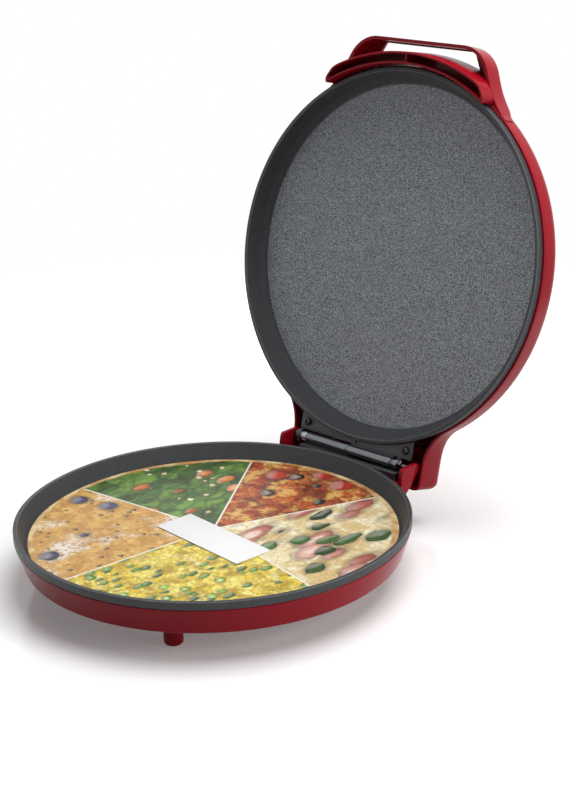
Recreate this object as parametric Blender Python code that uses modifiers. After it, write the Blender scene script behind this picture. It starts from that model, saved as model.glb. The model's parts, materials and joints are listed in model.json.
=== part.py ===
"""Round countertop cooker with two shallow pans and a lid hinged at the back.

Metres, +Z up.  The finished model stands on its four feet with the origin under the
middle of its box.  The lid is shown open, leaning on its stop; it is modelled closed,
in the frame of the pan rims, and hangs from an empty on the hinge axis.
"""
import math

import bmesh
import bpy
from mathutils import Matrix, Vector

# Whole machine
OPEN_ANGLE = math.radians(104.47)   # lid angle at its stop
HINGE_Z = 0.00243                   # hinge axis above the lower rim
RIM_GAP = 0.0004                    # between the two rims when the lid is shut
CLEARANCE = 0.0003                  # between pieces that touch
ROUND_STEPS = 48                    # facets of the large turned pieces
SMALL_STEPS = 14                    # facets of the small turned pieces
CUT_OVERRUN = 0.0010                # how far a cutter runs past its piece

# Pans
RIM_R = 0.1604
RIM_WIDTH = 0.0032
RIM_INNER_R = RIM_R - RIM_WIDTH
RIM_DEPTH = 0.0066
RIM_ROUND = 0.0006
PAN_WALL_LEAN = 0.0060              # how far the pan wall leans in over its depth
PAN_FLOOR_R = RIM_INNER_R - PAN_WALL_LEAN
PAN_WALL = 0.0022
BASE_PAN_DEPTH = 0.0146
BASE_PAN_FLOOR = 0.0030
BASE_PAN_FILLET = 0.0020
LID_PAN_DEPTH = 0.0180
LID_PAN_FLOOR = 0.0022
LID_PAN_FILLET = 0.0050
PAN_BOSS_R = 0.0045
PAN_BOSS_INSET = 0.0162             # screw bosses in from the foot of the pan wall
PAN_BOSS_REACH = PAN_FLOOR_R - PAN_BOSS_INSET
PAN_BOSS_HEIGHT = 0.0030
PAN_BOSS_ANGLES = (-90, 30, 150)
HUB_R = 0.0050                      # boss in the middle that takes the reflector screw

# Heating elements and reflectors
REFLECTOR_INSET = 0.0100            # rim of the reflector in from the screw bosses
REFLECTOR_R = PAN_BOSS_REACH - REFLECTOR_INSET
HEATER_INSET = 0.0250               # ring of the element in from the reflector's rim
HEATER_RING_R = REFLECTOR_R - HEATER_INSET
HEATER_TUBE_R = 0.00325
HEATER_BEND_R = 0.008125
HEATER_GAP_ANGLE = 24.0             # opening of the ring at the back, in degrees
HEATER_TAIL_LENGTH = 0.0150         # past the rim of the reflector
HEATER_TAIL_REACH = REFLECTOR_R + HEATER_TAIL_LENGTH
HEATER_STEPS = 28
TERMINAL_R = 0.0015
TERMINAL_LENGTH = 0.0080
REFLECTOR_THICK = 0.0008
REFLECTOR_LID_THICK = 0.0006
REFLECTOR_NOTCH_ROOM = 0.0050       # beside the tails of the element
SCREW_SHANK_R = 0.0017
SCREW_HEAD_R = 0.0034
SCREW_HEAD_HEIGHT = 0.0022
SCREW_LENGTH = 0.0060

# Base shell
SHELL_WALL = 0.0025
BASE_TOP_R = RIM_R
BASE_SIDE_LEAN = 0.0064
BASE_FOOT_R = BASE_TOP_R - BASE_SIDE_LEAN
BASE_ROOM = 0.0030                  # under the reflector, for the head of its screw
BASE_STACK = BASE_PAN_DEPTH + BASE_PAN_FLOOR + 2 * HEATER_TUBE_R + 2 * CLEARANCE + REFLECTOR_THICK
BASE_DEPTH = BASE_STACK + BASE_ROOM + SHELL_WALL
BASE_TURN_RISE = 0.0042             # height over which the side turns under
BASE_SIDE_DEPTH = BASE_DEPTH - BASE_TURN_RISE
BASE_TURN_UNDER = 0.0120
BASE_FLAT_R = BASE_FOOT_R - BASE_TURN_UNDER
BOSS_R = 0.0055

# Hinge brackets of the base
HINGE_SET_BACK = 0.01005            # hinge axis behind the rims
HINGE_Y = RIM_R + HINGE_SET_BACK
EAR_OUTER_X = 0.0705
EAR_RIGHT_THICK = 0.0067
EAR_LEFT_THICK = 0.0040
EAR_RIGHT_X = EAR_OUTER_X - EAR_RIGHT_THICK
EAR_LEFT_X = EAR_OUTER_X - EAR_LEFT_THICK
BLOCK_BEFORE_AXIS = 0.00925
BLOCK_BACK_Y = HINGE_Y - BLOCK_BEFORE_AXIS
BLOCK_INTO_SHELL = 0.0046
BLOCK_INNER_R = BASE_TOP_R - BLOCK_INTO_SHELL
BLOCK_END_STEP = 0.0025             # end of the block inside the outside of the ears
BLOCK_HALF = EAR_OUTER_X - BLOCK_END_STEP
BLOCK_UNDER_RIM = 0.0019
BLOCK_HEIGHT = 0.0115
BLOCK_TOP_Z = -RIM_DEPTH - BLOCK_UNDER_RIM
BLOCK_LOW_Z = BLOCK_TOP_Z - BLOCK_HEIGHT
EAR_SIZE = 0.0100
# Outline of an ear round the hinge axis, behind it and above it
EAR_SHARES = (
    (-2.70, -2.20), (-2.70, -1.05), (-2.04, -1.05), (-2.00, -0.30), (-1.84, 0.40), (-1.66, 0.56),
    (0.32, 0.48), (0.48, 0.36), (0.57, -0.05), (-0.36, -1.22), (-0.60, -1.45), (-1.10, -1.80),
    (-1.30, -2.10),
)

# Hinge
BARREL_R = 0.0045
PIN_R = 0.0020
RUNNING_GAP = 0.00035
PIN_SLEEVE_R = PIN_R + RUNNING_GAP
PIN_IN_EAR = 0.0035                 # depth of the pin's seat in the right ear
BARREL_SPLIT_X = -0.0043            # where the two barrels meet
LUG_LENGTH = 0.0040
LUG_INSET = 0.0007                  # left lug in from the end of the lid leaf
LEFT_SPACER_ROOM = 0.0063
RIGHT_SPACER_ROOM = 0.0041
NUT_ROOM = 0.0113                   # right lug to the right ear
LEFT_LUG_R = 0.0056
LEAF_THICK = 0.0015
BASE_LEAF_END_STEP = 0.0130         # end of the base leaf in from the end of the block
BASE_LEAF_HALF = BLOCK_HALF - BASE_LEAF_END_STEP
BASE_LEAF_Z = -0.0026
BASE_LEAF_PAST_AXIS = 0.00075
BASE_LEAF_BACK_Y = HINGE_Y + BASE_LEAF_PAST_AXIS
BASE_LEAF_ABOVE_BLOCK = 0.0030      # lower edge of the leaf above that of the block
BASE_LEAF_LOW_Z = BLOCK_LOW_Z + BASE_LEAF_ABOVE_BLOCK
BASE_WEB_THICK = 0.0030
BASE_WEB_FRONT_Y = BASE_LEAF_BACK_Y - BASE_WEB_THICK
LID_LEAF_HALF = EAR_RIGHT_X - 2 * CLEARANCE
LID_LEAF_Z = 0.0040
LID_LEAF_BEFORE_AXIS = 0.00565
LID_LEAF_BACK_Y = HINGE_Y - LID_LEAF_BEFORE_AXIS
LID_WEB_LENGTH = 0.0032
LID_WEB_BACK_Y = LID_LEAF_BACK_Y + LID_WEB_LENGTH
LID_LEAF_SCREW_INSET = 0.0072       # from the end and, next, from the back of the lid leaf
LID_LEAF_SCREW_IN = 0.0073
LID_LEAF_SCREW_X = LID_LEAF_HALF - LID_LEAF_SCREW_INSET
LID_LEAF_SCREW_Y = LID_LEAF_BACK_Y - LID_LEAF_SCREW_IN
BASE_LEAF_SCREW_RISE = 0.0055
BASE_LEAF_SCREW_Z = BASE_LEAF_LOW_Z + BASE_LEAF_SCREW_RISE
BASE_LEAF_SCREW_INSET = 0.0150
BASE_LEAF_SCREW_SPREAD = BASE_LEAF_HALF - BASE_LEAF_SCREW_INSET
# Both ends of each barrel and lug on the pin
LEFT_LUG = (LUG_INSET - LID_LEAF_HALF, LUG_INSET - LID_LEAF_HALF + LUG_LENGTH)
LEFT_BARREL = (LEFT_LUG[1] + LEFT_SPACER_ROOM, BARREL_SPLIT_X - CLEARANCE)
RIGHT_LUG = (EAR_RIGHT_X - NUT_ROOM - LUG_LENGTH, EAR_RIGHT_X - NUT_ROOM)
RIGHT_BARREL = (BARREL_SPLIT_X + CLEARANCE, RIGHT_LUG[0] - RIGHT_SPACER_ROOM)
NUT_R = 0.0042
NUT_THICK = 0.0032
SPACER_R = 0.0040
BUSH_R = 0.0034

# Feet
FOOT_HEIGHT = 0.0200
RIM_HEIGHT = BASE_DEPTH + FOOT_HEIGHT
FOOT_R = 0.00765
FOOT_ROUND = 0.0028
FOOT_INSET = 0.0150                 # front feet in from the edge of the flat underside
FOOT_BACK_INSET = 0.0110
FOOT_REACH = BASE_FLAT_R - FOOT_INSET
FOOT_BACK_REACH = BASE_FLAT_R - FOOT_BACK_INSET
FOOT_FRONT_ANGLE = 59.0             # from the sideways axis, front pair
FOOT_BACK_ANGLE = 66.0              # the same, back pair
FOOT_STEM_R = 0.0030
FOOT_CLIP_R = 0.0045
FOOT_CLIP_THICK = 0.0012

# Lid shell, closed
LID_OVERHANG = 0.0016               # past the rims
LID_R = RIM_R + LID_OVERHANG
LID_EDGE_Z = 0.0073
LID_ROOM = 0.0102                   # under the middle of the crown, above the reflector
LID_PAN_BACK_Z = RIM_GAP + LID_PAN_DEPTH + LID_PAN_FLOOR
LID_STACK_Z = LID_PAN_BACK_Z + 2 * HEATER_TUBE_R + 2 * CLEARANCE + REFLECTOR_LID_THICK
LID_CROWN_Z = LID_STACK_Z + LID_ROOM + SHELL_WALL
LID_CROWN_RISE = 0.0110             # of the crown above its shoulder
LID_SHOULDER_R = 0.0100
LID_SIDE_Z = LID_CROWN_Z - LID_CROWN_RISE - LID_SHOULDER_R
TAIL_ROOM = 0.0015                  # between its side and an ear
TAIL_HALF = EAR_OUTER_X + TAIL_ROOM + SHELL_WALL
TAIL_PAST_AXIS = 0.01905
TAIL_BACK_Y = HINGE_Y + TAIL_PAST_AXIS
TAIL_BLEND_R = 0.0450               # hollow curve between the round side and the tail
TAIL_CORNER_R = 0.0070
TAIL_SHOULDER_DEPTH = 0.0055        # how far the tail's shoulder leans in
TAIL_SHOULDER_RISE = 0.0085
TAIL_CROWN_RISE = 0.0050            # of the crown above the tail's shoulder
TAIL_SIDE_Z = LID_CROWN_Z - TAIL_CROWN_RISE - TAIL_SHOULDER_RISE
# Where the rings of the crown lie between its top and the shoulder
CROWN_SHARES = (0.65, 0.25)
LID_BOSS_R = 0.0042
POST_R = 0.0040                     # posts that hold the upper pan
POST_STUD = 0.0024
POST_BOSS_HEIGHT = 0.0023           # below the inside of the crown

# Handle, closed; the front is at -Y
GRIP_REACH = 0.0220                 # past the round side of the lid
GRIP_FRONT_Y = LID_R + GRIP_REACH
GRIP_CORNER_X = 0.0659              # where the arm's line meets the front line
GRIP_ARM_ANGLE = 24.0               # of the arms, in degrees from the middle line
GRIP_CORNER_R = 0.0300
GRIP_BLEND_R = 0.0850
GRIP_LOW_Z = 0.0080
GRIP_ABOVE_SIDE = 0.0054            # its top above the start of the lid's shoulder
GRIP_TOP_Z = LID_SIDE_Z + GRIP_ABOVE_SIDE
GRIP_EDGE_R = 0.0012
GRIP_WALL = 0.0028
GRIP_LIP = 0.0040                   # width of the bar beside the finger opening
GRIP_WEB = 0.0024                   # top of the grip round the opening
GRIP_END_GAP = 0.0006               # arm thickness where its end is cut
OPENING_INSET = 0.0177              # front end of the finger opening in from the corner
OPENING_HALF = GRIP_CORNER_X - OPENING_INSET
OPENING_SPREAD = 0.0073             # how much wider it is at its back, each side
HANDLE_SEAT_R = LID_R + CLEARANCE
HANDLE_SCREW_Z = 0.0165
HANDLE_SCREW_ANGLE = 20.0
HANDLE_SCREW_LENGTH = 0.0090
TROUGH_SET_OFF = 0.0003             # its back stands off the back of the grip
TROUGH_INNER_R = HANDLE_SEAT_R + TROUGH_SET_OFF
TROUGH_WIDTH = 0.0105
TROUGH_LEAN = 0.0025                # how far its front leans out
TROUGH_OUTER_R = HANDLE_SEAT_R + TROUGH_WIDTH
TROUGH_TOP_R = TROUGH_OUTER_R + TROUGH_LEAN
TROUGH_WALL = 0.0018
TROUGH_LOW_Z = -0.0075
TROUGH_ROOF_Z = 0.0135
TROUGH_TIP_ANGLE = 31.2             # degrees each side of the middle
TROUGH_ROUND_ANGLE = 25.5           # where the rounding of its tip starts
TROUGH_TIP_WALL_ANGLE = 1.3
TROUGH_IN_GRIP = 0.0003             # the ends stay this far inside the outline of the grip
TROUGH_RIB = 0.0014

# Insert laid in the lower pan
CARD_ROOM = 0.0016
CARD_R = PAN_FLOOR_R - CARD_ROOM
CARD_THICK = 0.0010
LABEL_LENGTH = 0.1010
LABEL_WIDTH = 0.0350
LABEL_THICK = 0.0006
LABEL_X = 0.0135
LABEL_Y = -0.0145
LABEL_ANGLE = -5.5                   # degrees

# Electrics
GLAND_ANGLE = 142.0
GLAND_R = 0.0060
GLAND_BORE_R = 0.0037
GLAND_LENGTH = 0.0054
GLAND_FLANGE_R = 0.0082
GLAND_FLANGE = 0.0020
GLAND_RISE = 0.0130                 # above the underside of the base
GLAND_Z = GLAND_RISE - BASE_DEPTH
BLOCK_ANGLE = 124.0
TERMINAL_BLOCK = (0.0220, 0.0100, 0.0085)
TERMINAL_BLOCK_INSET = 0.0040
TERMINAL_BLOCK_REACH = BASE_FLAT_R - TERMINAL_BLOCK_INSET
THERMOSTAT_R = 0.0080
THERMOSTAT_X = -0.0450
THERMOSTAT_Y = 0.0350
FUSE_R = 0.0022
FUSE_LENGTH = 0.0140
LEAD_R = 0.0013
FUSE_PAST_TAILS = 0.0055            # behind the ends of the element's tails
FUSE_RISE = 0.0095                  # above the underside of the base
LID_FUSE_PAST = 0.0005
LID_FUSE_OFF_PAN = 0.0036           # from the back of the upper pan
BASE_FUSE_AT = (0.0, HEATER_TAIL_REACH + FUSE_PAST_TAILS, FUSE_RISE - BASE_DEPTH)
LID_FUSE_AT = (0.0, HEATER_TAIL_REACH + FUSE_PAST_TAILS + LID_FUSE_PAST,
               LID_PAN_BACK_Z + LID_FUSE_OFF_PAN)
# Leads from the fuse of the base: block to left pin, block to thermostat, block to fuse, fuse to right pin
BASE_LEADS = (
    ((-0.0696, -0.0216, -0.0001), (-0.0560, -0.0110, 0.0002), (-0.0440, -0.0043, 0.0003),
     (-0.0344, -0.0005, 0.0003), (-0.0253, 0.0014, 0.0003)),
    ((-0.0658, -0.0272, -0.0047), (-0.0580, -0.0199, -0.0053), (-0.0400, -0.0139, -0.0054),
     (-0.0100, -0.0145, -0.0053), (-0.0040, -0.0265, -0.0001), (-0.0060, -0.0705, 0.0003),
     (-0.0388, -0.1041, 0.0003)),
    ((-0.0678, -0.0243, -0.0027), (-0.0580, -0.0155, -0.0033), (-0.0440, -0.0087, -0.0042),
     (-0.0280, -0.0050, -0.0045), (-0.0160, -0.0015, -0.0025), (-0.0076, 0.0, 0.0)),
    ((0.0076, 0.0, 0.0), (0.0135, 0.0017, 0.0002), (0.0206, 0.0018, 0.0003)),
)
# Leads from the fuse of the lid: fuse to right pin, fuse and left pin to where the hinge leads come in
LID_LEADS = (
    ((0.0076, 0.0, 0.0), (0.0135, 0.0014, 0.0), (0.0206, 0.0013, 0.0)),
    ((-0.0076, 0.0, 0.0), (-0.0104, 0.0003, 0.0001), (-0.0128, 0.0040, 0.0003), (-0.0130, 0.0100, 0.0008)),
    ((-0.0231, 0.0010, 0.0), (-0.0236, 0.0038, 0.0001), (-0.0200, 0.0100, 0.0008)),
)


def clear_scene():
    """Empty the file of objects before modelling."""
    for old in list(bpy.data.objects):
        bpy.data.objects.remove(old, do_unlink=True)


def make_collection(name):
    made = bpy.data.collections.new(name)
    bpy.context.scene.collection.children.link(made)
    return made


def make_material(name, colour, roughness, metallic=0.0):
    material = bpy.data.materials.new(name)
    material.use_nodes = True
    shader = material.node_tree.nodes["Principled BSDF"]
    shader.inputs["Base Color"].default_value = (*colour, 1.0)
    shader.inputs["Roughness"].default_value = roughness
    shader.inputs["Metallic"].default_value = metallic
    material.diffuse_color = (*colour, 1.0)
    return material


clear_scene()
PARTS = make_collection("pizza_maker")
CUTTERS = make_collection("pizza_maker_cutters")

RED = make_material("red_lacquer", (0.39, 0.012, 0.026), 0.15)
PAN_BLACK = make_material("non_stick_black", (0.045, 0.047, 0.052), 0.45, 0.3)
SATIN_BLACK = make_material("satin_black_steel", (0.03, 0.03, 0.033), 0.35, 0.8)
STEEL = make_material("bright_steel", (0.62, 0.62, 0.63), 0.25, 1.0)
DARK_STEEL = make_material("heater_steel", (0.22, 0.21, 0.2), 0.45, 1.0)
ALUMINIUM = make_material("reflector_aluminium", (0.75, 0.76, 0.77), 0.3, 1.0)
BLACK_PLASTIC = make_material("black_plastic", (0.02, 0.02, 0.02), 0.5)
CERAMIC = make_material("white_ceramic", (0.8, 0.78, 0.74), 0.5)
SLEEVING = make_material("lead_sleeving", (0.72, 0.69, 0.62), 0.7)
CARD = make_material("printed_card", (0.66, 0.45, 0.2), 0.4)
LABEL = make_material("blank_label", (0.93, 0.93, 0.93), 0.4)

# Frames that carry the two halves
base_frame = bpy.data.objects.new("base_frame", None)
lid_frame = bpy.data.objects.new("lid_frame", None)
for empty in (base_frame, lid_frame):
    PARTS.objects.link(empty)
lid_frame.parent = base_frame
lid_frame.location = (0, HINGE_Y, HINGE_Z)
lid_frame.rotation_euler = (-OPEN_ANGLE, 0, 0)


def place(obj, half, location=(0, 0, 0), rotation=(0, 0, 0)):
    """Put a piece, with its tools, in the base or in the closed frame of the lid."""
    obj.parent = half
    shift = Vector((0, HINGE_Y, HINGE_Z)) if half is lid_frame else Vector()
    obj.location = Vector(location) - shift
    obj.rotation_euler = rotation
    for step in obj.modifiers:
        if step.type == "BOOLEAN":
            alongside(step.object, obj)
    return obj


def new_piece(name, mesh, material, is_cutter=False):
    obj = bpy.data.objects.new(name, mesh)
    mesh.materials.append(material)
    (CUTTERS if is_cutter else PARTS).objects.link(obj)
    if is_cutter:
        obj.hide_render = True
        obj.display_type = "WIRE"
    return obj


def smooth(obj, angle=35.0):
    obj.data.shade_smooth()
    obj.data.set_sharp_from_angle(angle=math.radians(angle))
    return obj


def turned(name, profile, material, steps=ROUND_STEPS, is_cutter=False):
    """Spin a profile of (radius, height) points; its outer side runs downwards."""
    mesh = bpy.data.meshes.new(name)
    edges = [(i, i + 1) for i in range(len(profile) - 1)]
    if profile[0][0] > 0 and profile[-1][0] > 0:
        edges.append((len(profile) - 1, 0))
    mesh.from_pydata([(radius, 0, height) for radius, height in profile], edges, [])
    obj = new_piece(name, mesh, material, is_cutter)
    screw = obj.modifiers.new("spin", "SCREW")
    screw.steps = steps
    screw.render_steps = steps
    screw.use_merge_vertices = True
    screw.merge_threshold = 0.00001
    screw.use_smooth_shade = True
    return obj


def rod(name, radius, length, material, steps=SMALL_STEPS, is_cutter=False):
    """Plain round bar on Z, centred."""
    mesh = bpy.data.meshes.new(name)
    shape = bmesh.new()
    bmesh.ops.create_cone(shape, cap_ends=True, segments=steps,
                          radius1=radius, radius2=radius, depth=length)
    shape.to_mesh(mesh)
    shape.free()
    return smooth(new_piece(name, mesh, material, is_cutter))


def box(name, low, high, material, is_cutter=False):
    mesh = bpy.data.meshes.new(name)
    shape = bmesh.new()
    bmesh.ops.create_cube(shape, size=1.0)
    size = [b - a for a, b in zip(low, high)]
    middle = [(a + b) / 2 for a, b in zip(low, high)]
    bmesh.ops.scale(shape, vec=size, verts=shape.verts)
    bmesh.ops.translate(shape, vec=middle, verts=shape.verts)
    shape.to_mesh(mesh)
    shape.free()
    return new_piece(name, mesh, material, is_cutter)


def curve_to_piece(name, curve, material, is_cutter=False):
    """Turn a curve into a welded mesh piece and remove the curve."""
    guide = bpy.data.objects.new(name + "_curve", curve)
    CUTTERS.objects.link(guide)
    evaluated = guide.evaluated_get(bpy.context.evaluated_depsgraph_get())
    mesh = bpy.data.meshes.new_from_object(evaluated)
    bpy.data.objects.remove(guide, do_unlink=True)
    shape = bmesh.new()
    shape.from_mesh(mesh)
    bmesh.ops.remove_doubles(shape, verts=shape.verts, dist=0.000005)
    bmesh.ops.recalc_face_normals(shape, faces=shape.faces)
    shape.to_mesh(mesh)
    shape.free()
    mesh.materials.clear()
    return new_piece(name, mesh, material, is_cutter)


def plate(name, outline, low, high, material, is_cutter=False):
    """Flat outline in XY with its faces at two heights."""
    curve = bpy.data.curves.new(name, "CURVE")
    curve.dimensions = "2D"
    curve.fill_mode = "BOTH"
    curve.extrude = (high - low) / 2
    spline = curve.splines.new("POLY")
    spline.points.add(len(outline) - 1)
    for point, (x, y) in zip(spline.points, outline):
        point.co = (x, y, 0, 1)
    spline.use_cyclic_u = True
    obj = curve_to_piece(name, curve, material, is_cutter)
    obj.data.transform(Matrix.Translation((0, 0, (high + low) / 2)))
    return obj


def side_plate(name, outline, left, right, material, is_cutter=False):
    """Flat outline in YZ with its faces at two places along X."""
    obj = plate(name, outline, left, right, material, is_cutter)
    turn = Matrix(((0, 0, 1, 0), (1, 0, 0, 0), (0, 1, 0, 0), (0, 0, 0, 1)))
    obj.data.transform(turn)
    return obj


def tube(name, points, radius, material, resolution=2):
    curve = bpy.data.curves.new(name, "CURVE")
    curve.dimensions = "3D"
    curve.bevel_depth = radius
    curve.bevel_resolution = resolution
    curve.use_fill_caps = True
    spline = curve.splines.new("POLY")
    spline.points.add(len(points) - 1)
    for point, place_of in zip(spline.points, points):
        point.co = (*place_of, 1)
    return smooth(curve_to_piece(name, curve, material))


def boolean(obj, tool, operation):
    step = obj.modifiers.new(tool.name, "BOOLEAN")
    step.operation = operation
    step.solver = "EXACT"
    step.object = tool
    return obj


def alongside(tool, obj):
    """Give a tool drawn in a piece's own coordinates the place of that piece."""
    tool.parent = obj.parent
    tool.location = obj.location
    tool.rotation_euler = obj.rotation_euler


def cut(obj, tool):
    alongside(tool, obj)
    return boolean(obj, tool, "DIFFERENCE")


def join(obj, tool):
    alongside(tool, obj)
    return boolean(obj, tool, "UNION")


def bake(obj):
    """Apply an object's modifiers, so that it can be copied into another piece."""
    evaluated = obj.evaluated_get(bpy.context.evaluated_depsgraph_get())
    mesh = bpy.data.meshes.new_from_object(evaluated)
    obj.modifiers.clear()
    obj.data = mesh
    return obj


def polar(radius, degrees):
    angle = math.radians(degrees)
    return radius * math.cos(angle), radius * math.sin(angle)


def arc(centre, radius, start, end, steps):
    """Points on an arc, angles in degrees, both ends included."""
    points = []
    for i in range(steps + 1):
        x, y = polar(radius, start + (end - start) * i / steps)
        points.append((centre[0] + x, centre[1] + y))
    return points


def mirrored(points):
    return [(-x, y) for x, y in reversed(points)]


def loft(name, rings, material, is_cutter=False, close_low=True, close_high=True):
    """Skin over rings of equally many points, listed from the lowest up."""
    shape = bmesh.new()
    rows = [[shape.verts.new(point) for point in ring] for ring in rings]
    count = len(rings[0])
    for low, high in zip(rows, rows[1:]):
        for i in range(count):
            j = (i + 1) % count
            shape.faces.new((low[i], low[j], high[j], high[i]))
    if close_low:
        shape.faces.new(list(reversed(rows[0])))
    if close_high:
        shape.faces.new(rows[-1])
    mesh = bpy.data.meshes.new(name)
    shape.to_mesh(mesh)
    shape.free()
    return new_piece(name, mesh, material, is_cutter)


def inset(points, amounts, closed=True):
    """Move each point of a counterclockwise outline inwards by its own amount."""
    moved = []
    count = len(points)
    for i, ((x, y), amount) in enumerate(zip(points, amounts)):
        before = points[i - 1] if closed or i > 0 else points[i]
        after = points[(i + 1) % count] if closed or i < count - 1 else points[i]
        along = Vector((after[0] - before[0], after[1] - before[1])).normalized()
        moved.append((x - along.y * amount, y + along.x * amount))
    return moved


def blend(start, end, share):
    return start + (end - start) * share


def smoothstep(share):
    return share * share * (3 - 2 * share)


# Heights of the stack under a pan, measured from its rim

def pan_back(depth, floor):
    return depth + floor


def heater_depth(depth, floor):
    return pan_back(depth, floor) + CLEARANCE + HEATER_TUBE_R


def reflector_depth(depth, floor):
    return heater_depth(depth, floor) + HEATER_TUBE_R + CLEARANCE


def pan(name, depth, floor, fillet):
    """Shallow round pan with a thick rim, seen with its rim at height zero."""
    back = -pan_back(depth, floor)
    wall_foot_z = fillet - depth
    lip_share = (-RIM_DEPTH - wall_foot_z) / -wall_foot_z
    lip_inner = blend(PAN_FLOOR_R, RIM_INNER_R, lip_share) + PAN_WALL
    profile = [(0, -depth)]
    profile += arc((PAN_FLOOR_R - fillet, wall_foot_z), fillet, -90, 0, 2)
    profile += [
        (RIM_INNER_R, 0),
        (RIM_R - RIM_ROUND, 0),
        (RIM_R, -RIM_ROUND),
        (RIM_R, -RIM_DEPTH),
        (lip_inner, -RIM_DEPTH),
        (PAN_FLOOR_R + PAN_WALL, wall_foot_z),
        (PAN_FLOOR_R + PAN_WALL - fillet, back),
        (0, back),
    ]
    return turned(name, profile, PAN_BLACK)


def add_blind_boss(piece, x, y, radius, back, low, floor):
    """Round boss with a screw hole on the back of a pan, in the pan's coordinates."""
    high = back + floor / 2
    boss = rod("pan_boss", radius, high - low, PAN_BLACK, is_cutter=True)
    boss.data.transform(Matrix.Translation((x, y, (high + low) / 2)))
    join(piece, boss)
    bore = rod("pan_bore", SCREW_SHANK_R + CLEARANCE, 2 * (back - low - CLEARANCE), PAN_BLACK, 10, True)
    bore.data.transform(Matrix.Translation((x, y, low)))
    cut(piece, bore)


def add_pan_bosses(piece, depth, floor):
    """Three bosses for the fixings and one in the middle for the reflector."""
    back = -pan_back(depth, floor)
    for x, y in boss_places():
        add_blind_boss(piece, x, y, PAN_BOSS_R, back, back - PAN_BOSS_HEIGHT, floor)
    add_blind_boss(piece, 0, 0, HUB_R, back, CLEARANCE - reflector_depth(depth, floor), floor)


def screw(name, length):
    """Pan-head screw on Z, its head downwards; the head bears at height zero."""
    return turned(name, [
        (0, length),
        (SCREW_SHANK_R, length),
        (SCREW_SHANK_R, 0),
        (SCREW_HEAD_R, 0),
        (SCREW_HEAD_R, -SCREW_HEAD_HEIGHT),
        (0, -SCREW_HEAD_HEIGHT),
    ], STEEL, 10)


def screws(name, length, places, half, facings=()):
    """Like screws, each its own piece; a facing turns one from head-down."""
    for i, place_of in enumerate(places):
        label = f"{name}_{i + 1}" if len(places) > 1 else name
        place(screw(label, length), half, place_of, facings[i] if facings else (0, 0, 0))


def heater(name, half, height):
    """Tubular element: a ring open at the back, with two straight tails."""
    ring_end = 90 + HEATER_GAP_ANGLE / 2
    centre = polar(HEATER_RING_R + HEATER_BEND_R, ring_end)
    corner = arc(centre, HEATER_BEND_R, ring_end - 90, ring_end - 180, 3)
    tail_start = corner[0]
    out = polar(1, ring_end)
    run = HEATER_TAIL_REACH - HEATER_RING_R - HEATER_BEND_R
    tail_end = (tail_start[0] + out[0] * run, tail_start[1] + out[1] * run)
    ring = arc((0, 0), HEATER_RING_R, ring_end, 270, HEATER_STEPS // 2)
    left = [tail_end] + corner + ring[1:]
    path = left[:-1] + mirrored(left)
    body = tube(name, [(x, y, 0) for x, y in path], HEATER_TUBE_R, DARK_STEEL, 1)
    place(body, half, (0, 0, height))
    for side in (-1, 1):
        pin = rod(name + "_pin", TERMINAL_R, 2 * TERMINAL_LENGTH, STEEL, 10, True)
        pin.data.transform(Matrix.Rotation(math.pi / 2, 4, "X"))
        pin.data.transform(Matrix.Rotation(-side * math.radians(HEATER_GAP_ANGLE / 2), 4, "Z"))
        pin.data.transform(Matrix.Translation((-side * tail_end[0], tail_end[1], 0)))
        join(body, pin)


def reflector(name, thick, depth, floor, material):
    """Shallow dish that holds the element against the pan."""
    hole = SCREW_SHANK_R + CLEARANCE
    rim = -pan_back(depth, floor) - CLEARANCE
    top = -reflector_depth(depth, floor)
    dish = turned(name, [
        (hole, top),
        (REFLECTOR_R - thick, top),
        (REFLECTOR_R - thick, rim),
        (REFLECTOR_R, rim),
        (REFLECTOR_R, top - thick),
        (hole, top - thick),
    ], material)
    half_notch = polar(REFLECTOR_R, 90 - HEATER_GAP_ANGLE / 2)[0] + REFLECTOR_NOTCH_ROOM
    notch_y = math.sqrt((REFLECTOR_R - thick) ** 2 - half_notch ** 2) - thick
    notch = box(name + "_notch", (-half_notch, notch_y, top - thick - CUT_OVERRUN),
                (half_notch, REFLECTOR_R + CUT_OVERRUN, rim + CUT_OVERRUN), material, True)
    return dish, notch


def foot_places():
    front = [polar(FOOT_REACH, -FOOT_FRONT_ANGLE), polar(FOOT_REACH, FOOT_FRONT_ANGLE - 180)]
    back = [polar(FOOT_BACK_REACH, FOOT_BACK_ANGLE), polar(FOOT_BACK_REACH, 180 - FOOT_BACK_ANGLE)]
    return dict(zip(("front_right", "front_left", "back_right", "back_left"), front + back))


def boss_places():
    return [polar(PAN_BOSS_REACH, angle) for angle in PAN_BOSS_ANGLES]


# Base

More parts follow.
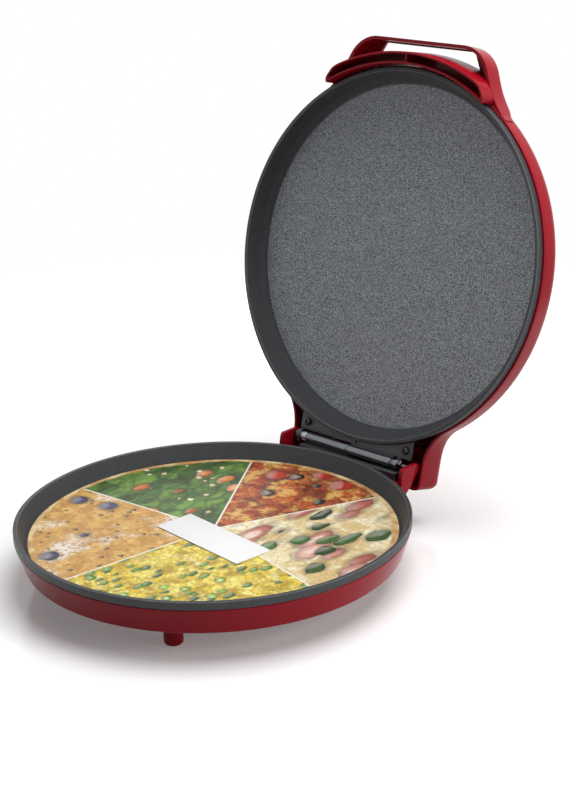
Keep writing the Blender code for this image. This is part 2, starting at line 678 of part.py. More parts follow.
def make_base_shell():
    top = -RIM_DEPTH - CLEARANCE
    inner_flat = BASE_FLAT_R - SHELL_WALL
    inner_foot = BASE_FOOT_R - SHELL_WALL
    inner_floor = SHELL_WALL - BASE_DEPTH

    def turn_under(flat, foot, low):
        points = []
        for i in range(4):
            x, z = polar(1, -90 * i / 3)
            points.append((flat + (foot - flat) * x, -BASE_SIDE_DEPTH + (low + BASE_SIDE_DEPTH) * -z))
        return points

    inner = turn_under(inner_flat, inner_foot, inner_floor)
    outer = turn_under(BASE_FLAT_R, BASE_FOOT_R, -BASE_DEPTH)
    profile = [(0, inner_floor)] + list(reversed(inner))
    profile += [(BASE_TOP_R - SHELL_WALL, top), (BASE_TOP_R, top)]
    profile += outer + [(0, -BASE_DEPTH)]
    shell = place(turned("base_shell", profile, RED), base_frame)
    bake(shell)

    # Hinge block behind the round side, and the two ears that hold the pin
    side = math.degrees(math.acos(BLOCK_HALF / BLOCK_INNER_R))
    outline = [(-BLOCK_HALF, BLOCK_BACK_Y)]
    outline += arc((0, 0), BLOCK_INNER_R, 180 - side, side, 16)
    outline += [(BLOCK_HALF, BLOCK_BACK_Y)]
    join(shell, plate("hinge_block", outline, BLOCK_LOW_Z, BLOCK_TOP_Z, RED, True))
    ear = [(HINGE_Y + y * EAR_SIZE, HINGE_Z + z * EAR_SIZE) for y, z in EAR_SHARES]
    join(shell, side_plate("ear_right", ear, EAR_RIGHT_X, EAR_OUTER_X, RED, True))
    join(shell, side_plate("ear_left", ear, -EAR_OUTER_X, -EAR_LEFT_X, RED, True))
    seat_length = PIN_IN_EAR + CUT_OVERRUN
    for name, edge, outwards in (("pin_seat_right", EAR_RIGHT_X, 1), ("pin_seat_left", -EAR_LEFT_X, -1)):
        seat = rod(name, PIN_SLEEVE_R, 2 * seat_length, RED, is_cutter=True)
        seat.data.transform(Matrix.Rotation(math.pi / 2, 4, "Y"))
        middle = edge + outwards * (PIN_IN_EAR - seat_length)
        seat.data.transform(Matrix.Translation((middle, HINGE_Y, HINGE_Z)))
        cut(shell, seat)

    # Bosses for the pan screws, feet holes, gland hole, leaf screw holes
    boss_top = -pan_back(BASE_PAN_DEPTH, BASE_PAN_FLOOR) - PAN_BOSS_HEIGHT - CLEARANCE
    boss_low = inner_floor - SHELL_WALL / 2
    for x, y in boss_places():
        boss = rod("screw_boss", BOSS_R, boss_top - boss_low, RED, is_cutter=True)
        boss.data.transform(Matrix.Translation((x, y, (boss_top + boss_low) / 2)))
        join(shell, boss)
    for x, y in boss_places():
        bore = rod("screw_bore", SCREW_SHANK_R + CLEARANCE, BASE_DEPTH, RED, is_cutter=True)
        bore.data.transform(Matrix.Translation((x, y, boss_top + CUT_OVERRUN - BASE_DEPTH / 2)))
        cut(shell, bore)
        depth = SCREW_HEAD_HEIGHT + 2 * CLEARANCE
        recess = rod("screw_recess", SCREW_HEAD_R + CLEARANCE, 2 * depth, RED, is_cutter=True)
        recess.data.transform(Matrix.Translation((x, y, -BASE_DEPTH)))
        cut(shell, recess)
    for x, y in foot_places().values():
        depth = SHELL_WALL + CUT_OVERRUN
        hole = rod("foot_hole", FOOT_STEM_R + CLEARANCE, 2 * depth, RED, is_cutter=True)
        hole.data.transform(Matrix.Translation((x, y, -BASE_DEPTH)))
        cut(shell, hole)
    gland_hole = rod("gland_hole", GLAND_R + CLEARANCE, 3 * SHELL_WALL, RED, is_cutter=True)
    gland_hole.data.transform(gland_matrix())
    cut(shell, gland_hole)
    for x in (-BASE_LEAF_SCREW_SPREAD, 0, BASE_LEAF_SCREW_SPREAD):
        hole = rod("leaf_screw_hole", SCREW_SHANK_R + CLEARANCE, 2 * SCREW_LENGTH, RED, 10, True)
        hole.data.transform(Matrix.Rotation(math.pi / 2, 4, "X"))
        hole.data.transform(Matrix.Translation((x, BLOCK_BACK_Y + CUT_OVERRUN, BASE_LEAF_SCREW_Z)))
        cut(shell, hole)
    return shell


def gland_matrix():
    """Frame of the gland: on the outside of the wall, its axis square to it."""
    drop = BASE_SIDE_DEPTH - RIM_DEPTH - CLEARANCE
    share = (-GLAND_Z - RIM_DEPTH - CLEARANCE) / drop
    x, y = polar(blend(BASE_TOP_R, BASE_FOOT_R, share), GLAND_ANGLE)
    tilt = math.atan2(BASE_TOP_R - BASE_FOOT_R, drop)
    aim = Matrix.Rotation(math.radians(GLAND_ANGLE), 4, "Z") @ Matrix.Rotation(math.pi / 2 + tilt, 4, "Y")
    return Matrix.Translation((x, y, GLAND_Z)) @ aim


def make_pans():
    base_pan = place(pan("base_pan", BASE_PAN_DEPTH, BASE_PAN_FLOOR, BASE_PAN_FILLET), base_frame)
    add_pan_bosses(base_pan, BASE_PAN_DEPTH, BASE_PAN_FLOOR)
    lid_pan = place(pan("lid_pan", LID_PAN_DEPTH, LID_PAN_FLOOR, LID_PAN_FILLET), lid_frame,
                    (0, 0, RIM_GAP), (0, math.pi, 0))
    add_pan_bosses(lid_pan, LID_PAN_DEPTH, LID_PAN_FLOOR)


def make_feet():
    stem_top = -BASE_DEPTH + SHELL_WALL + CLEARANCE
    foot_top = -BASE_DEPTH - CLEARANCE
    table = -RIM_HEIGHT
    profile = [
        (0, stem_top + FOOT_CLIP_THICK),
        (FOOT_CLIP_R, stem_top + FOOT_CLIP_THICK),
        (FOOT_CLIP_R, stem_top),
        (FOOT_STEM_R, stem_top),
        (FOOT_STEM_R, foot_top),
        (FOOT_R, foot_top),
    ]
    profile += arc((FOOT_R - FOOT_ROUND, table + FOOT_ROUND), FOOT_ROUND, 0, -90, 3)
    profile += [(0, table)]
    for name, (x, y) in foot_places().items():
        place(turned("foot_" + name, profile, RED, SMALL_STEPS), base_frame, (x, y, 0))


def make_card():
    low = -BASE_PAN_DEPTH + CLEARANCE
    card = rod("food_card", CARD_R, CARD_THICK, CARD, ROUND_STEPS)
    place(card, base_frame, (0, 0, low + CARD_THICK / 2))
    label_low = low + CARD_THICK + CLEARANCE
    half_x = LABEL_LENGTH / 2
    half_y = LABEL_WIDTH / 2
    label = box("card_label", (-half_x, -half_y, 0), (half_x, half_y, LABEL_THICK), LABEL)
    place(label, base_frame, (LABEL_X, LABEL_Y, label_low), (0, 0, math.radians(LABEL_ANGLE)))


def make_base_inside():
    heater("base_heater", base_frame, -heater_depth(BASE_PAN_DEPTH, BASE_PAN_FLOOR))
    dish, notch = reflector("base_reflector", REFLECTOR_THICK, BASE_PAN_DEPTH, BASE_PAN_FLOOR, STEEL)
    place(dish, base_frame)
    cut(dish, notch)
    dish_back = -reflector_depth(BASE_PAN_DEPTH, BASE_PAN_FLOOR) - REFLECTOR_THICK
    screws("base_reflector_screw", SCREW_LENGTH, [(0, 0, dish_back - CLEARANCE)], base_frame)
    back = -pan_back(BASE_PAN_DEPTH, BASE_PAN_FLOOR)
    head_seat = -BASE_DEPTH + SCREW_HEAD_HEIGHT + CLEARANCE
    reach = back - PAN_BOSS_HEIGHT / 2 - head_seat
    screws("base_pan_screws", reach, [(x, y, head_seat) for x, y in boss_places()], base_frame)

    height = 2 * HEATER_TUBE_R
    thermostat = rod("thermostat", THERMOSTAT_R, height, CERAMIC, 24)
    place(thermostat, base_frame, (THERMOSTAT_X, THERMOSTAT_Y, back - CLEARANCE - height / 2))

    inner_end = -GLAND_LENGTH + GLAND_FLANGE
    gland = turned("cord_gland", [
        (GLAND_BORE_R, GLAND_FLANGE + CLEARANCE),
        (GLAND_FLANGE_R, GLAND_FLANGE + CLEARANCE),
        (GLAND_FLANGE_R, CLEARANCE),
        (GLAND_R, CLEARANCE),
        (GLAND_R, inner_end),
        (GLAND_BORE_R, inner_end),
    ], BLACK_PLASTIC, SMALL_STEPS)
    bake(gland)
    gland.data.transform(gland_matrix())
    place(gland, base_frame)

    x, y = polar(TERMINAL_BLOCK_REACH, BLOCK_ANGLE)
    floor = SHELL_WALL - BASE_DEPTH + CLEARANCE
    length, width, height = TERMINAL_BLOCK
    block = box("terminal_block", (-length / 2, -width / 2, 0), (length / 2, width / 2, height), CERAMIC)
    place(block, base_frame, (x, y, floor), (0, 0, math.radians(BLOCK_ANGLE + 90)))
    fuse_and_leads("base", base_frame, BASE_FUSE_AT, BASE_LEADS)


def fuse_and_leads(prefix, half, fuse_at, paths):
    fuse = rod(prefix + "_thermal_fuse", FUSE_R, FUSE_LENGTH, ALUMINIUM, 16)
    fuse.data.transform(Matrix.Rotation(math.pi / 2, 4, "Y"))
    place(fuse, half, fuse_at)
    for i, path in enumerate(paths):
        place(tube(f"{prefix}_lead_{i + 1}", path, LEAD_R, SLEEVING, 0), half, fuse_at)


# Hinge

def along_x(name, radius, left, right, material, steps=SMALL_STEPS, is_cutter=False):
    made = rod(name, radius, right - left, material, steps, is_cutter)
    made.data.transform(Matrix.Rotation(math.pi / 2, 4, "Y"))
    made.data.transform(Matrix.Translation(((left + right) / 2, HINGE_Y, HINGE_Z)))
    return made


def ring_on_pin(name, radius, left, right, material, steps=SMALL_STEPS):
    made = turned(name, [
        (PIN_SLEEVE_R, (right - left) / 2),
        (radius, (right - left) / 2),
        (radius, (left - right) / 2),
        (PIN_SLEEVE_R, (left - right) / 2),
    ], material, steps)
    bake(made)
    made.data.transform(Matrix.Rotation(math.pi / 2, 4, "Y"))
    made.data.transform(Matrix.Translation(((left + right) / 2, HINGE_Y, HINGE_Z)))
    return made


def make_hinge():
    # Base leaf: upright flange on the hinge block, shelf, and the left barrel
    front = BLOCK_BACK_Y + CLEARANCE
    outline = [
        (front, BASE_LEAF_LOW_Z),
        (front + LEAF_THICK, BASE_LEAF_LOW_Z),
        (front + LEAF_THICK, BASE_LEAF_Z - LEAF_THICK),
        (BASE_LEAF_BACK_Y, BASE_LEAF_Z - LEAF_THICK),
        (BASE_LEAF_BACK_Y, BASE_LEAF_Z),
        (front, BASE_LEAF_Z),
    ]
    leaf = side_plate("base_hinge_leaf", outline, -BASE_LEAF_HALF, BASE_LEAF_HALF, SATIN_BLACK)
    place(leaf, base_frame)
    join(leaf, box("base_web", (LEFT_BARREL[0], BASE_WEB_FRONT_Y, BASE_LEAF_Z - LEAF_THICK / 2),
                   (LEFT_BARREL[1], BASE_LEAF_BACK_Y - LEAF_THICK / 4, HINGE_Z - PIN_R - LEAF_THICK),
                   SATIN_BLACK, True))
    join(leaf, along_x("left_barrel", BARREL_R, *LEFT_BARREL, SATIN_BLACK, is_cutter=True))
    cut(leaf, along_x("left_barrel_bore", PIN_SLEEVE_R, LEFT_BARREL[0] - CUT_OVERRUN,
                      LEFT_BARREL[1] + CUT_OVERRUN, SATIN_BLACK, is_cutter=True))
    screw_x = (-BASE_LEAF_SCREW_SPREAD, 0, BASE_LEAF_SCREW_SPREAD)
    for x in screw_x:
        hole = rod("base_leaf_hole", SCREW_SHANK_R + CLEARANCE, 4 * LEAF_THICK, SATIN_BLACK, 10, True)
        hole.data.transform(Matrix.Rotation(math.pi / 2, 4, "X"))
        hole.data.transform(Matrix.Translation((x, front + LEAF_THICK / 2, BASE_LEAF_SCREW_Z)))
        cut(leaf, hole)
    screws("base_leaf_screws", SCREW_LENGTH,
           [(x, front + LEAF_THICK + CLEARANCE, BASE_LEAF_SCREW_Z) for x in screw_x],
           base_frame, [(math.pi / 2, 0, 0)] * len(screw_x))

    # Lid leaf: plate round the back of the pan, the right barrel and two lugs
    arc_r = RIM_R + 2 * CLEARANCE
    side = math.degrees(math.acos(LID_LEAF_HALF / arc_r))
    outline = arc((0, 0), arc_r, side, 180 - side, 16)
    outline += [(-LID_LEAF_HALF, LID_LEAF_BACK_Y), (LID_LEAF_HALF, LID_LEAF_BACK_Y)]
    lid_leaf = plate("lid_hinge_leaf", outline, LID_LEAF_Z, LID_LEAF_Z + LEAF_THICK, SATIN_BLACK)
    place(lid_leaf, lid_frame)
    rolls = (("right_barrel", RIGHT_BARREL, BARREL_R), ("left_lug", LEFT_LUG, LEFT_LUG_R),
             ("right_lug", RIGHT_LUG, BARREL_R))
    for name, (left, right), radius in rolls:
        join(lid_leaf, box(name + "_web", (left, LID_LEAF_BACK_Y - LEAF_THICK, LID_LEAF_Z + LEAF_THICK / 8),
                           (right, LID_WEB_BACK_Y, LID_LEAF_Z + LEAF_THICK * 7 / 8), SATIN_BLACK, True))
        join(lid_leaf, along_x(name, radius, left, right, SATIN_BLACK, is_cutter=True))
        cut(lid_leaf, along_x(name + "_bore", PIN_SLEEVE_R, left - CUT_OVERRUN, right + CUT_OVERRUN,
                              SATIN_BLACK, is_cutter=True))
    screw_at = []
    for x in (-LID_LEAF_SCREW_X, LID_LEAF_SCREW_X):
        hole = rod("lid_leaf_hole", SCREW_SHANK_R + CLEARANCE, 4 * LEAF_THICK, SATIN_BLACK, 10, True)
        hole.data.transform(Matrix.Translation((x, LID_LEAF_SCREW_Y, LID_LEAF_Z + LEAF_THICK / 2)))
        cut(lid_leaf, hole)
        screw_at.append((x, LID_LEAF_SCREW_Y, LID_LEAF_Z - CLEARANCE))
    screws("lid_leaf_screws", SCREW_LENGTH, screw_at, lid_frame)

    # Pin and what is threaded on it between the ears
    pin_left = -EAR_LEFT_X - PIN_IN_EAR + CLEARANCE
    pin_right = EAR_RIGHT_X + PIN_IN_EAR - CLEARANCE
    place(along_x("hinge_pin", PIN_R, pin_left, pin_right, STEEL), base_frame)
    spacers = (
        ("hinge_bush", BUSH_R, -EAR_LEFT_X, LEFT_LUG[0]),
        ("hinge_spacer_left", SPACER_R, LEFT_LUG[1], LEFT_BARREL[0]),
        ("hinge_spacer_right", SPACER_R, RIGHT_BARREL[1], RIGHT_LUG[0]),
    )
    for name, radius, left, right in spacers:
        place(ring_on_pin(name, radius, left + CLEARANCE, right - CLEARANCE, STEEL, 16), base_frame)
    nut = ring_on_pin("hinge_nut", NUT_R, RIGHT_LUG[1] + CLEARANCE,
                      RIGHT_LUG[1] + CLEARANCE + NUT_THICK, STEEL, 6)
    place(nut, base_frame)


# Lid

def lid_outline():
    """Right half of the lid's edge from the front, as (x, y, how much of it is tail)."""
    reach = TAIL_HALF + TAIL_BLEND_R
    blend_y = math.sqrt((LID_R + TAIL_BLEND_R) ** 2 - reach ** 2)
    blend_angle = math.degrees(math.atan2(blend_y, reach))
    points = [(x, y, 0) for x, y in arc((0, 0), LID_R, -90, blend_angle, 24)]
    hollow = arc((reach, blend_y), TAIL_BLEND_R, 180 + blend_angle, 180, 4)
    points += [(x, y, smoothstep((i + 1) / 4)) for i, (x, y) in enumerate(hollow[1:])]
    corner = arc((TAIL_HALF - TAIL_CORNER_R, TAIL_BACK_Y - TAIL_CORNER_R), TAIL_CORNER_R, 0, 90, 3)
    points += [(x, y, 1) for x, y in corner]
    points += [((TAIL_HALF - TAIL_CORNER_R) * (3 - i) / 3, TAIL_BACK_Y, 1) for i in (1, 3)]
    return points


def crown_z(shoulder_z, share):
    """Height of the crown at a share of the way from its top to the shoulder."""
    return LID_CROWN_Z - (LID_CROWN_Z - shoulder_z) * share * share


def post_boss_low_z():
    """Lower face of the bosses under the crown, which take the posts of the upper pan."""
    share = PAN_BOSS_REACH / (LID_R - LID_SHOULDER_R)
    return crown_z(LID_SIDE_Z + LID_SHOULDER_R, share) - SHELL_WALL - POST_BOSS_HEIGHT


def lid_rings():
    """Rings of the outside of the lid, from its edge up over the shoulder to the crown."""
    right = lid_outline()
    whole = right[:-1] + [(-x, y, tail) for x, y, tail in reversed(right[1:])]
    edge = [(x, y) for x, y, tail in whole]
    side = [blend(LID_SIDE_Z, TAIL_SIDE_Z, tail) for x, y, tail in whole]
    across = [blend(LID_SHOULDER_R, TAIL_SHOULDER_DEPTH, tail) for x, y, tail in whole]
    rise = [blend(LID_SHOULDER_R, TAIL_SHOULDER_RISE, tail) for x, y, tail in whole]
    rings = [[(x, y, LID_EDGE_Z) for x, y in edge]]
    for degrees in (0, 45, 90):
        out, up = polar(1, degrees)
        ring = inset(edge, [amount * (1 - out) for amount in across])
        rings.append([(x, y, z + up * height) for (x, y), z, height in zip(ring, side, rise)])
    shoulder = rings[-1]
    for share in CROWN_SHARES:
        rings.append([(x * share, y * share, crown_z(z, share)) for x, y, z in shoulder])
    return rings


def make_lid_shell():
    shell = loft("lid_shell", lid_rings(), RED, close_low=False)
    wall = shell.modifiers.new("wall", "SOLIDIFY")
    wall.thickness = SHELL_WALL
    wall.offset = -1
    wall.use_even_offset = True
    place(shell, lid_frame)
    boss_low = LID_LEAF_Z + LEAF_THICK + CLEARANCE
    share = LID_LEAF_SCREW_Y / (TAIL_BACK_Y - TAIL_SHOULDER_DEPTH)
    boss_high = crown_z(TAIL_SIDE_Z + TAIL_SHOULDER_RISE, share) - SHELL_WALL / 2
    for x in (-LID_LEAF_SCREW_X, LID_LEAF_SCREW_X):
        boss = rod("leaf_boss", LID_BOSS_R, boss_high - boss_low, RED, is_cutter=True)
        boss.data.transform(Matrix.Translation((x, LID_LEAF_SCREW_Y, (boss_low + boss_high) / 2)))
        join(shell, boss)
        bore = rod("leaf_boss_bore", SCREW_SHANK_R + CLEARANCE, 2 * SCREW_LENGTH, RED, 10, True)
        bore.data.transform(Matrix.Translation((x, LID_LEAF_SCREW_Y, boss_low)))
        cut(shell, bore)
    boss_low = post_boss_low_z()
    boss_height = POST_BOSS_HEIGHT + SHELL_WALL / 2
    for x, y in boss_places():
        boss = rod("post_boss", PAN_BOSS_R, boss_height, RED, is_cutter=True)
        boss.data.transform(Matrix.Translation((x, y, boss_low + boss_height / 2)))
        join(shell, boss)
        bore = rod("post_bore", SCREW_SHANK_R + CLEARANCE, 2 * POST_STUD + 2 * CLEARANCE, RED, 10, True)
        bore.data.transform(Matrix.Translation((x, y, boss_low)))
        cut(shell, bore)
    for angle in handle_screw_angles():
        x, y = polar(LID_R - SHELL_WALL / 2, angle)
        hole = rod("handle_screw_hole", SCREW_SHANK_R + CLEARANCE, 2 * SHELL_WALL, RED, 10, True)
        hole.data.transform(radial_matrix(x, y, HANDLE_SCREW_Z, angle))
        cut(shell, hole)


def handle_screw_angles():
    return (-90 - HANDLE_SCREW_ANGLE, -90 + HANDLE_SCREW_ANGLE)


def radial_matrix(x, y, z, angle):
    aim = Matrix.Rotation(math.radians(angle), 4, "Z") @ Matrix.Rotation(math.pi / 2, 4, "Y")
    return Matrix.Translation((x, y, z)) @ aim


def grip_outline():
    """Right half of the grip's front edge, as (x, distance forward), from the middle."""
    slope = math.radians(GRIP_ARM_ANGLE)
    setback = GRIP_CORNER_R * math.tan((math.pi / 2 - slope) / 2)
    centre = (GRIP_CORNER_X - setback, GRIP_FRONT_Y - GRIP_CORNER_R)
    points = [(centre[0] * i / 3, GRIP_FRONT_Y) for i in range(3)]
    corner = arc(centre, GRIP_CORNER_R, 90, GRIP_ARM_ANGLE, 6)
    points += corner
    outwards = Vector((math.cos(slope), math.sin(slope)))
    down = Vector((math.sin(slope), -math.cos(slope)))
    start = Vector(corner[-1]) + outwards * GRIP_BLEND_R
    half_b = start.dot(down)
    root = math.sqrt(half_b ** 2 - start.length_squared + (HANDLE_SEAT_R + GRIP_BLEND_R) ** 2)
    middle = start + down * (-half_b - root)
    if middle.y > start.y:
        middle = start + down * (-half_b + root)
    angle = math.degrees(math.atan2(middle.y, middle.x))
    points += arc(middle, GRIP_BLEND_R, 180 + GRIP_ARM_ANGLE, 180 + angle, 5)
    return [(x, y) for x, y in points if math.hypot(x, y) > HANDLE_SEAT_R + GRIP_END_GAP]


def front_plan(half, rear_r):
    """Close a right half outline against a round back; counterclockwise, the front at -Y."""
    end = math.degrees(math.atan2(half[-1][1], half[-1][0]))
    rear = arc((0, 0), rear_r, end, 180 - end, 20)[1:-1]
    return [(x, -forward) for x, forward in mirrored(half)[:-1] + half + rear]


def trough_plan(outer_r, inner_r, tip_angle, wall=0.0):
    """Half of a crescent with a rounded tip, as (x, distance forward) from the middle."""
    round_angle = TROUGH_ROUND_ANGLE
    points = arc((0, 0), outer_r, 90, 90 - round_angle, 6)
    for i in range(1, 5):
        share, rise = polar(1, 90 * i / 4)
        angle = blend(round_angle, tip_angle, rise)
        radius = min(blend(inner_r, outer_r, share), grip_r(angle) - TROUGH_IN_GRIP - wall)
        points.append(polar(max(radius, inner_r), 90 - angle))
    return points


def grip_r(degrees):
    """Radius of the grip's outline at an angle from the middle of the front."""
    half = [(math.degrees(math.atan2(x, forward)), math.hypot(x, forward)) for x, forward in grip_outline()]
    for (low, low_r), (high, high_r) in zip(half, half[1:]):
        if low <= degrees <= high:
            return blend(low_r, high_r, (degrees - low) / (high - low))
    return HANDLE_SEAT_R


def trough_outer_r(z):
    share = (z - TROUGH_LOW_Z) / (GRIP_TOP_Z - TROUGH_LOW_Z)
    return blend(TROUGH_OUTER_R, TROUGH_TOP_R, share)


def at_height(plan, z):
    return [(x, y, z) for x, y in plan]


def make_handle():
    half = grip_outline()
    plan = front_plan(half, HANDLE_SEAT_R)
    count = 2 * len(half) - 1
    rings = [at_height(plan, GRIP_LOW_Z)]
    for degrees in (0, 45, 90):
        across, up = polar(GRIP_EDGE_R, degrees)
        front = plan[:count]
        room = [(math.hypot(x, y) - HANDLE_SEAT_R) / 2 for x, y in front]
        moved = inset(front, [min(GRIP_EDGE_R - across, limit) for limit in room], closed=False)
        rings.append(at_height(moved + plan[count:], GRIP_TOP_Z - GRIP_EDGE_R + up))
    handle = place(loft("lid_handle", rings, RED), lid_frame)

    # Room for the fingers between the bar and the trough
    rear_r = HANDLE_SEAT_R - CUT_OVERRUN
    inner = inset([(x, -forward) for x, forward in mirrored(half)], [GRIP_WALL] * len(half), closed=False)
    inner = [(x, -y) for x, y in mirrored(inner)]
    inner[0] = (0, GRIP_FRONT_Y - GRIP_WALL)
    pocket_half = [(x, forward) for x, forward in inner if math.hypot(x, forward) > rear_r]
    cut(handle, plate("finger_room", front_plan(pocket_half, rear_r), GRIP_LOW_Z - CUT_OVERRUN,
                      GRIP_TOP_Z - GRIP_WEB, RED, True))

    # Hanging trough along the front of the lid, with its two pockets
    levels = (TROUGH_LOW_Z, GRIP_TOP_Z - GRIP_WEB / 2)
    trough = [at_height(front_plan(trough_plan(trough_outer_r(z), TROUGH_INNER_R, TROUGH_TIP_ANGLE),
                                   TROUGH_INNER_R), z) for z in levels]
    join(handle, loft("trough", trough, RED, True))
    hollow_inner = TROUGH_INNER_R + TROUGH_WALL
    hollow_tip = TROUGH_TIP_ANGLE - TROUGH_TIP_WALL_ANGLE
    hollow = front_plan(trough_plan(TROUGH_OUTER_R - TROUGH_WALL, hollow_inner, hollow_tip, TROUGH_WALL),
                        hollow_inner)
    cut(handle, plate("trough_hollow", hollow, TROUGH_LOW_Z - CUT_OVERRUN, TROUGH_ROOF_Z, RED, True))
    rib_low = (-TROUGH_RIB / 2, -TROUGH_OUTER_R + TROUGH_WALL / 2, TROUGH_LOW_Z)
    rib_high = (TROUGH_RIB / 2, -hollow_inner + TROUGH_WALL / 2, TROUGH_ROOF_Z + TROUGH_WALL / 2)
    join(handle, box("trough_rib", rib_low, rib_high, RED, True))

    # Opening through the top of the grip
    front = GRIP_FRONT_Y - GRIP_LIP
    back_r = trough_outer_r(GRIP_TOP_Z - GRIP_WEB)
    back_half = OPENING_HALF + OPENING_SPREAD
    end = math.degrees(math.acos(back_half / back_r))
    rear = arc((0, 0), back_r, end, 180 - end, 10)
    opening = [(x, -forward) for x, forward in [(-OPENING_HALF, front), (OPENING_HALF, front)] + rear]
    cut(handle, plate("finger_opening", opening, GRIP_TOP_Z - GRIP_WEB - CUT_OVERRUN,
                      GRIP_TOP_Z + CUT_OVERRUN, RED, True))
    for angle in handle_screw_angles():
        x, y = polar(HANDLE_SEAT_R, angle)
        bore = rod("handle_bore", SCREW_SHANK_R + CLEARANCE, 2 * HANDLE_SCREW_LENGTH, RED, 10, True)
        bore.data.transform(radial_matrix(x, y, HANDLE_SCREW_Z, angle))
        cut(handle, bore)

    # The trough's ends meet the arms at thin angles, where the exact solver can lose a sliver
    for step in handle.modifiers:
        step.solver = "MANIFOLD"


def make_lid_inside():
    turn_over = (0, math.pi, 0)
    heater("lid_heater", lid_frame, RIM_GAP + heater_depth(LID_PAN_DEPTH, LID_PAN_FLOOR))
    dish, notch = reflector("lid_reflector", REFLECTOR_LID_THICK, LID_PAN_DEPTH, LID_PAN_FLOOR, ALUMINIUM)
    place(dish, lid_frame, (0, 0, RIM_GAP), turn_over)
    cut(dish, notch)
    dish_back = RIM_GAP + reflector_depth(LID_PAN_DEPTH, LID_PAN_FLOOR) + REFLECTOR_LID_THICK
    screws("lid_reflector_screw", SCREW_LENGTH, [(0, 0, dish_back + CLEARANCE)], lid_frame, [turn_over])

    pan_top = RIM_GAP + pan_back(LID_PAN_DEPTH, LID_PAN_FLOOR) + PAN_BOSS_HEIGHT
    low = pan_top + CLEARANCE
    high = post_boss_low_z() - CLEARANCE
    for i, (x, y) in enumerate(boss_places()):
        post = turned(f"lid_pan_post_{i + 1}", [
            (0, high + POST_STUD),
            (SCREW_SHANK_R, high + POST_STUD),
            (SCREW_SHANK_R, high),
            (POST_R, high),
            (POST_R, low),
            (SCREW_SHANK_R, low),
            (SCREW_SHANK_R, pan_top - PAN_BOSS_HEIGHT + 2 * CLEARANCE),
            (0, pan_top - PAN_BOSS_HEIGHT + 2 * CLEARANCE),
        ], STEEL, 16)
        place(post, lid_frame, (x, y, 0))

    head_seat = LID_R - SHELL_WALL - CLEARANCE
    angles = handle_screw_angles()
    screw_at = [(*polar(head_seat, angle), HANDLE_SCREW_Z) for angle in angles]
    screws("handle_screws", HANDLE_SCREW_LENGTH, screw_at, lid_frame,
           [(0, math.pi / 2, math.radians(angle)) for angle in angles])
    fuse_and_leads("lid", lid_frame, LID_FUSE_AT, LID_LEADS)


def stand_on_origin():
    """Move the whole machine so that its box stands centred on the origin."""
    bpy.context.view_layer.update()
    graph = bpy.context.evaluated_depsgraph_get()
    low = Vector((math.inf,) * 3)
    high = -low
    for obj in PARTS.objects:
        if obj.type != "MESH":
            continue
        solid = obj.evaluated_get(graph)
        for vertex in solid.data.vertices:
            point = solid.matrix_world @ vertex.co
            low = Vector(map(min, low, point))
            high = Vector(map(max, high, point))
    base_frame.location = -Vector(((low.x + high.x) / 2, (low.y + high.y) / 2, low.z))


make_base_shell()
make_pans()
make_feet()
make_card()
make_base_inside()
make_hinge()
make_lid_shell()
make_handle()
make_lid_inside()
stand_on_origin()
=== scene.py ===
"""Looks of a round countertop cooker: fine shells, pans, hinge, insert and a studio.

Every size is in metres.  Pieces of the lid are shaped as if it were shut, in the frame of
the lower rim, and then turned to the open rest pose.
"""
import json
import math

import bmesh
import bpy
from bpy.props import FloatProperty, FloatVectorProperty, IntProperty, PointerProperty
from bpy.types import Operator, Panel, PropertyGroup
from mathutils import Matrix, Vector


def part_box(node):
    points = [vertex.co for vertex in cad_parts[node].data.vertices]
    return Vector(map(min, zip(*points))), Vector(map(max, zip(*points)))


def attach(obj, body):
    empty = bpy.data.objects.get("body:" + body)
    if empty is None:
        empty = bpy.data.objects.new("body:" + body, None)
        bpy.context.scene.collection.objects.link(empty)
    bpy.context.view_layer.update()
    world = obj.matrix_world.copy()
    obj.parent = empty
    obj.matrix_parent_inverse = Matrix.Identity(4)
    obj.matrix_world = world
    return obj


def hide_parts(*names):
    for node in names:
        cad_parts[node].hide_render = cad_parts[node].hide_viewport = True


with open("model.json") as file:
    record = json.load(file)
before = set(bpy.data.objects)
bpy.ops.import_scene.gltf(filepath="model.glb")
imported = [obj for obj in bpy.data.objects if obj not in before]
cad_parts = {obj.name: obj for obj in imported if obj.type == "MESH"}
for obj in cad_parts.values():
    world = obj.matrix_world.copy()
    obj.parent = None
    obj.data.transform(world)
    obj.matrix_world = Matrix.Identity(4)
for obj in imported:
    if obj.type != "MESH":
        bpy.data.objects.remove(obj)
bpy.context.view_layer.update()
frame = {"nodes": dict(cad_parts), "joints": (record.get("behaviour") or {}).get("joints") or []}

bl_info = {
    "name": "Pizza maker",
    "version": (1, 0, 0),
    "blender": (4, 5, 0),
    "location": "View3D > Sidebar > Pizza maker",
    "description": "Dresses the solid model of a round cooker with fine pieces and finishes",
    "category": "Object",
}

PAN_LOW, PAN_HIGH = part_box("base_pan")
HINGE = Vector(frame["joints"][0]["pos_m"])
RIM_CENTRE = Vector(((PAN_LOW.x + PAN_HIGH.x) / 2, (PAN_LOW.y + PAN_HIGH.y) / 2, PAN_HIGH.z))
TO_BASE = Matrix.Translation(RIM_CENTRE)
AXIS = HINGE - RIM_CENTRE
OPEN_ANGLE = math.radians(104.47)
TO_LID = (
    TO_BASE
    @ Matrix.Translation(AXIS)
    @ Matrix.Rotation(-OPEN_ANGLE, 4, "X")
    @ Matrix.Translation(-AXIS)
)
GAP = 0.0003


def length(name, default, description):
    return FloatProperty(name=name, default=default, description=description, subtype="DISTANCE",
                         unit="LENGTH")


def turn(name, degrees, description):
    return FloatProperty(name=name, default=math.radians(degrees), description=description,
                         subtype="ANGLE", unit="ROTATION")


def colour(name, default, description):
    return FloatVectorProperty(name=name, default=default, description=description, subtype="COLOR",
                               size=3, min=0.0, max=1.0)


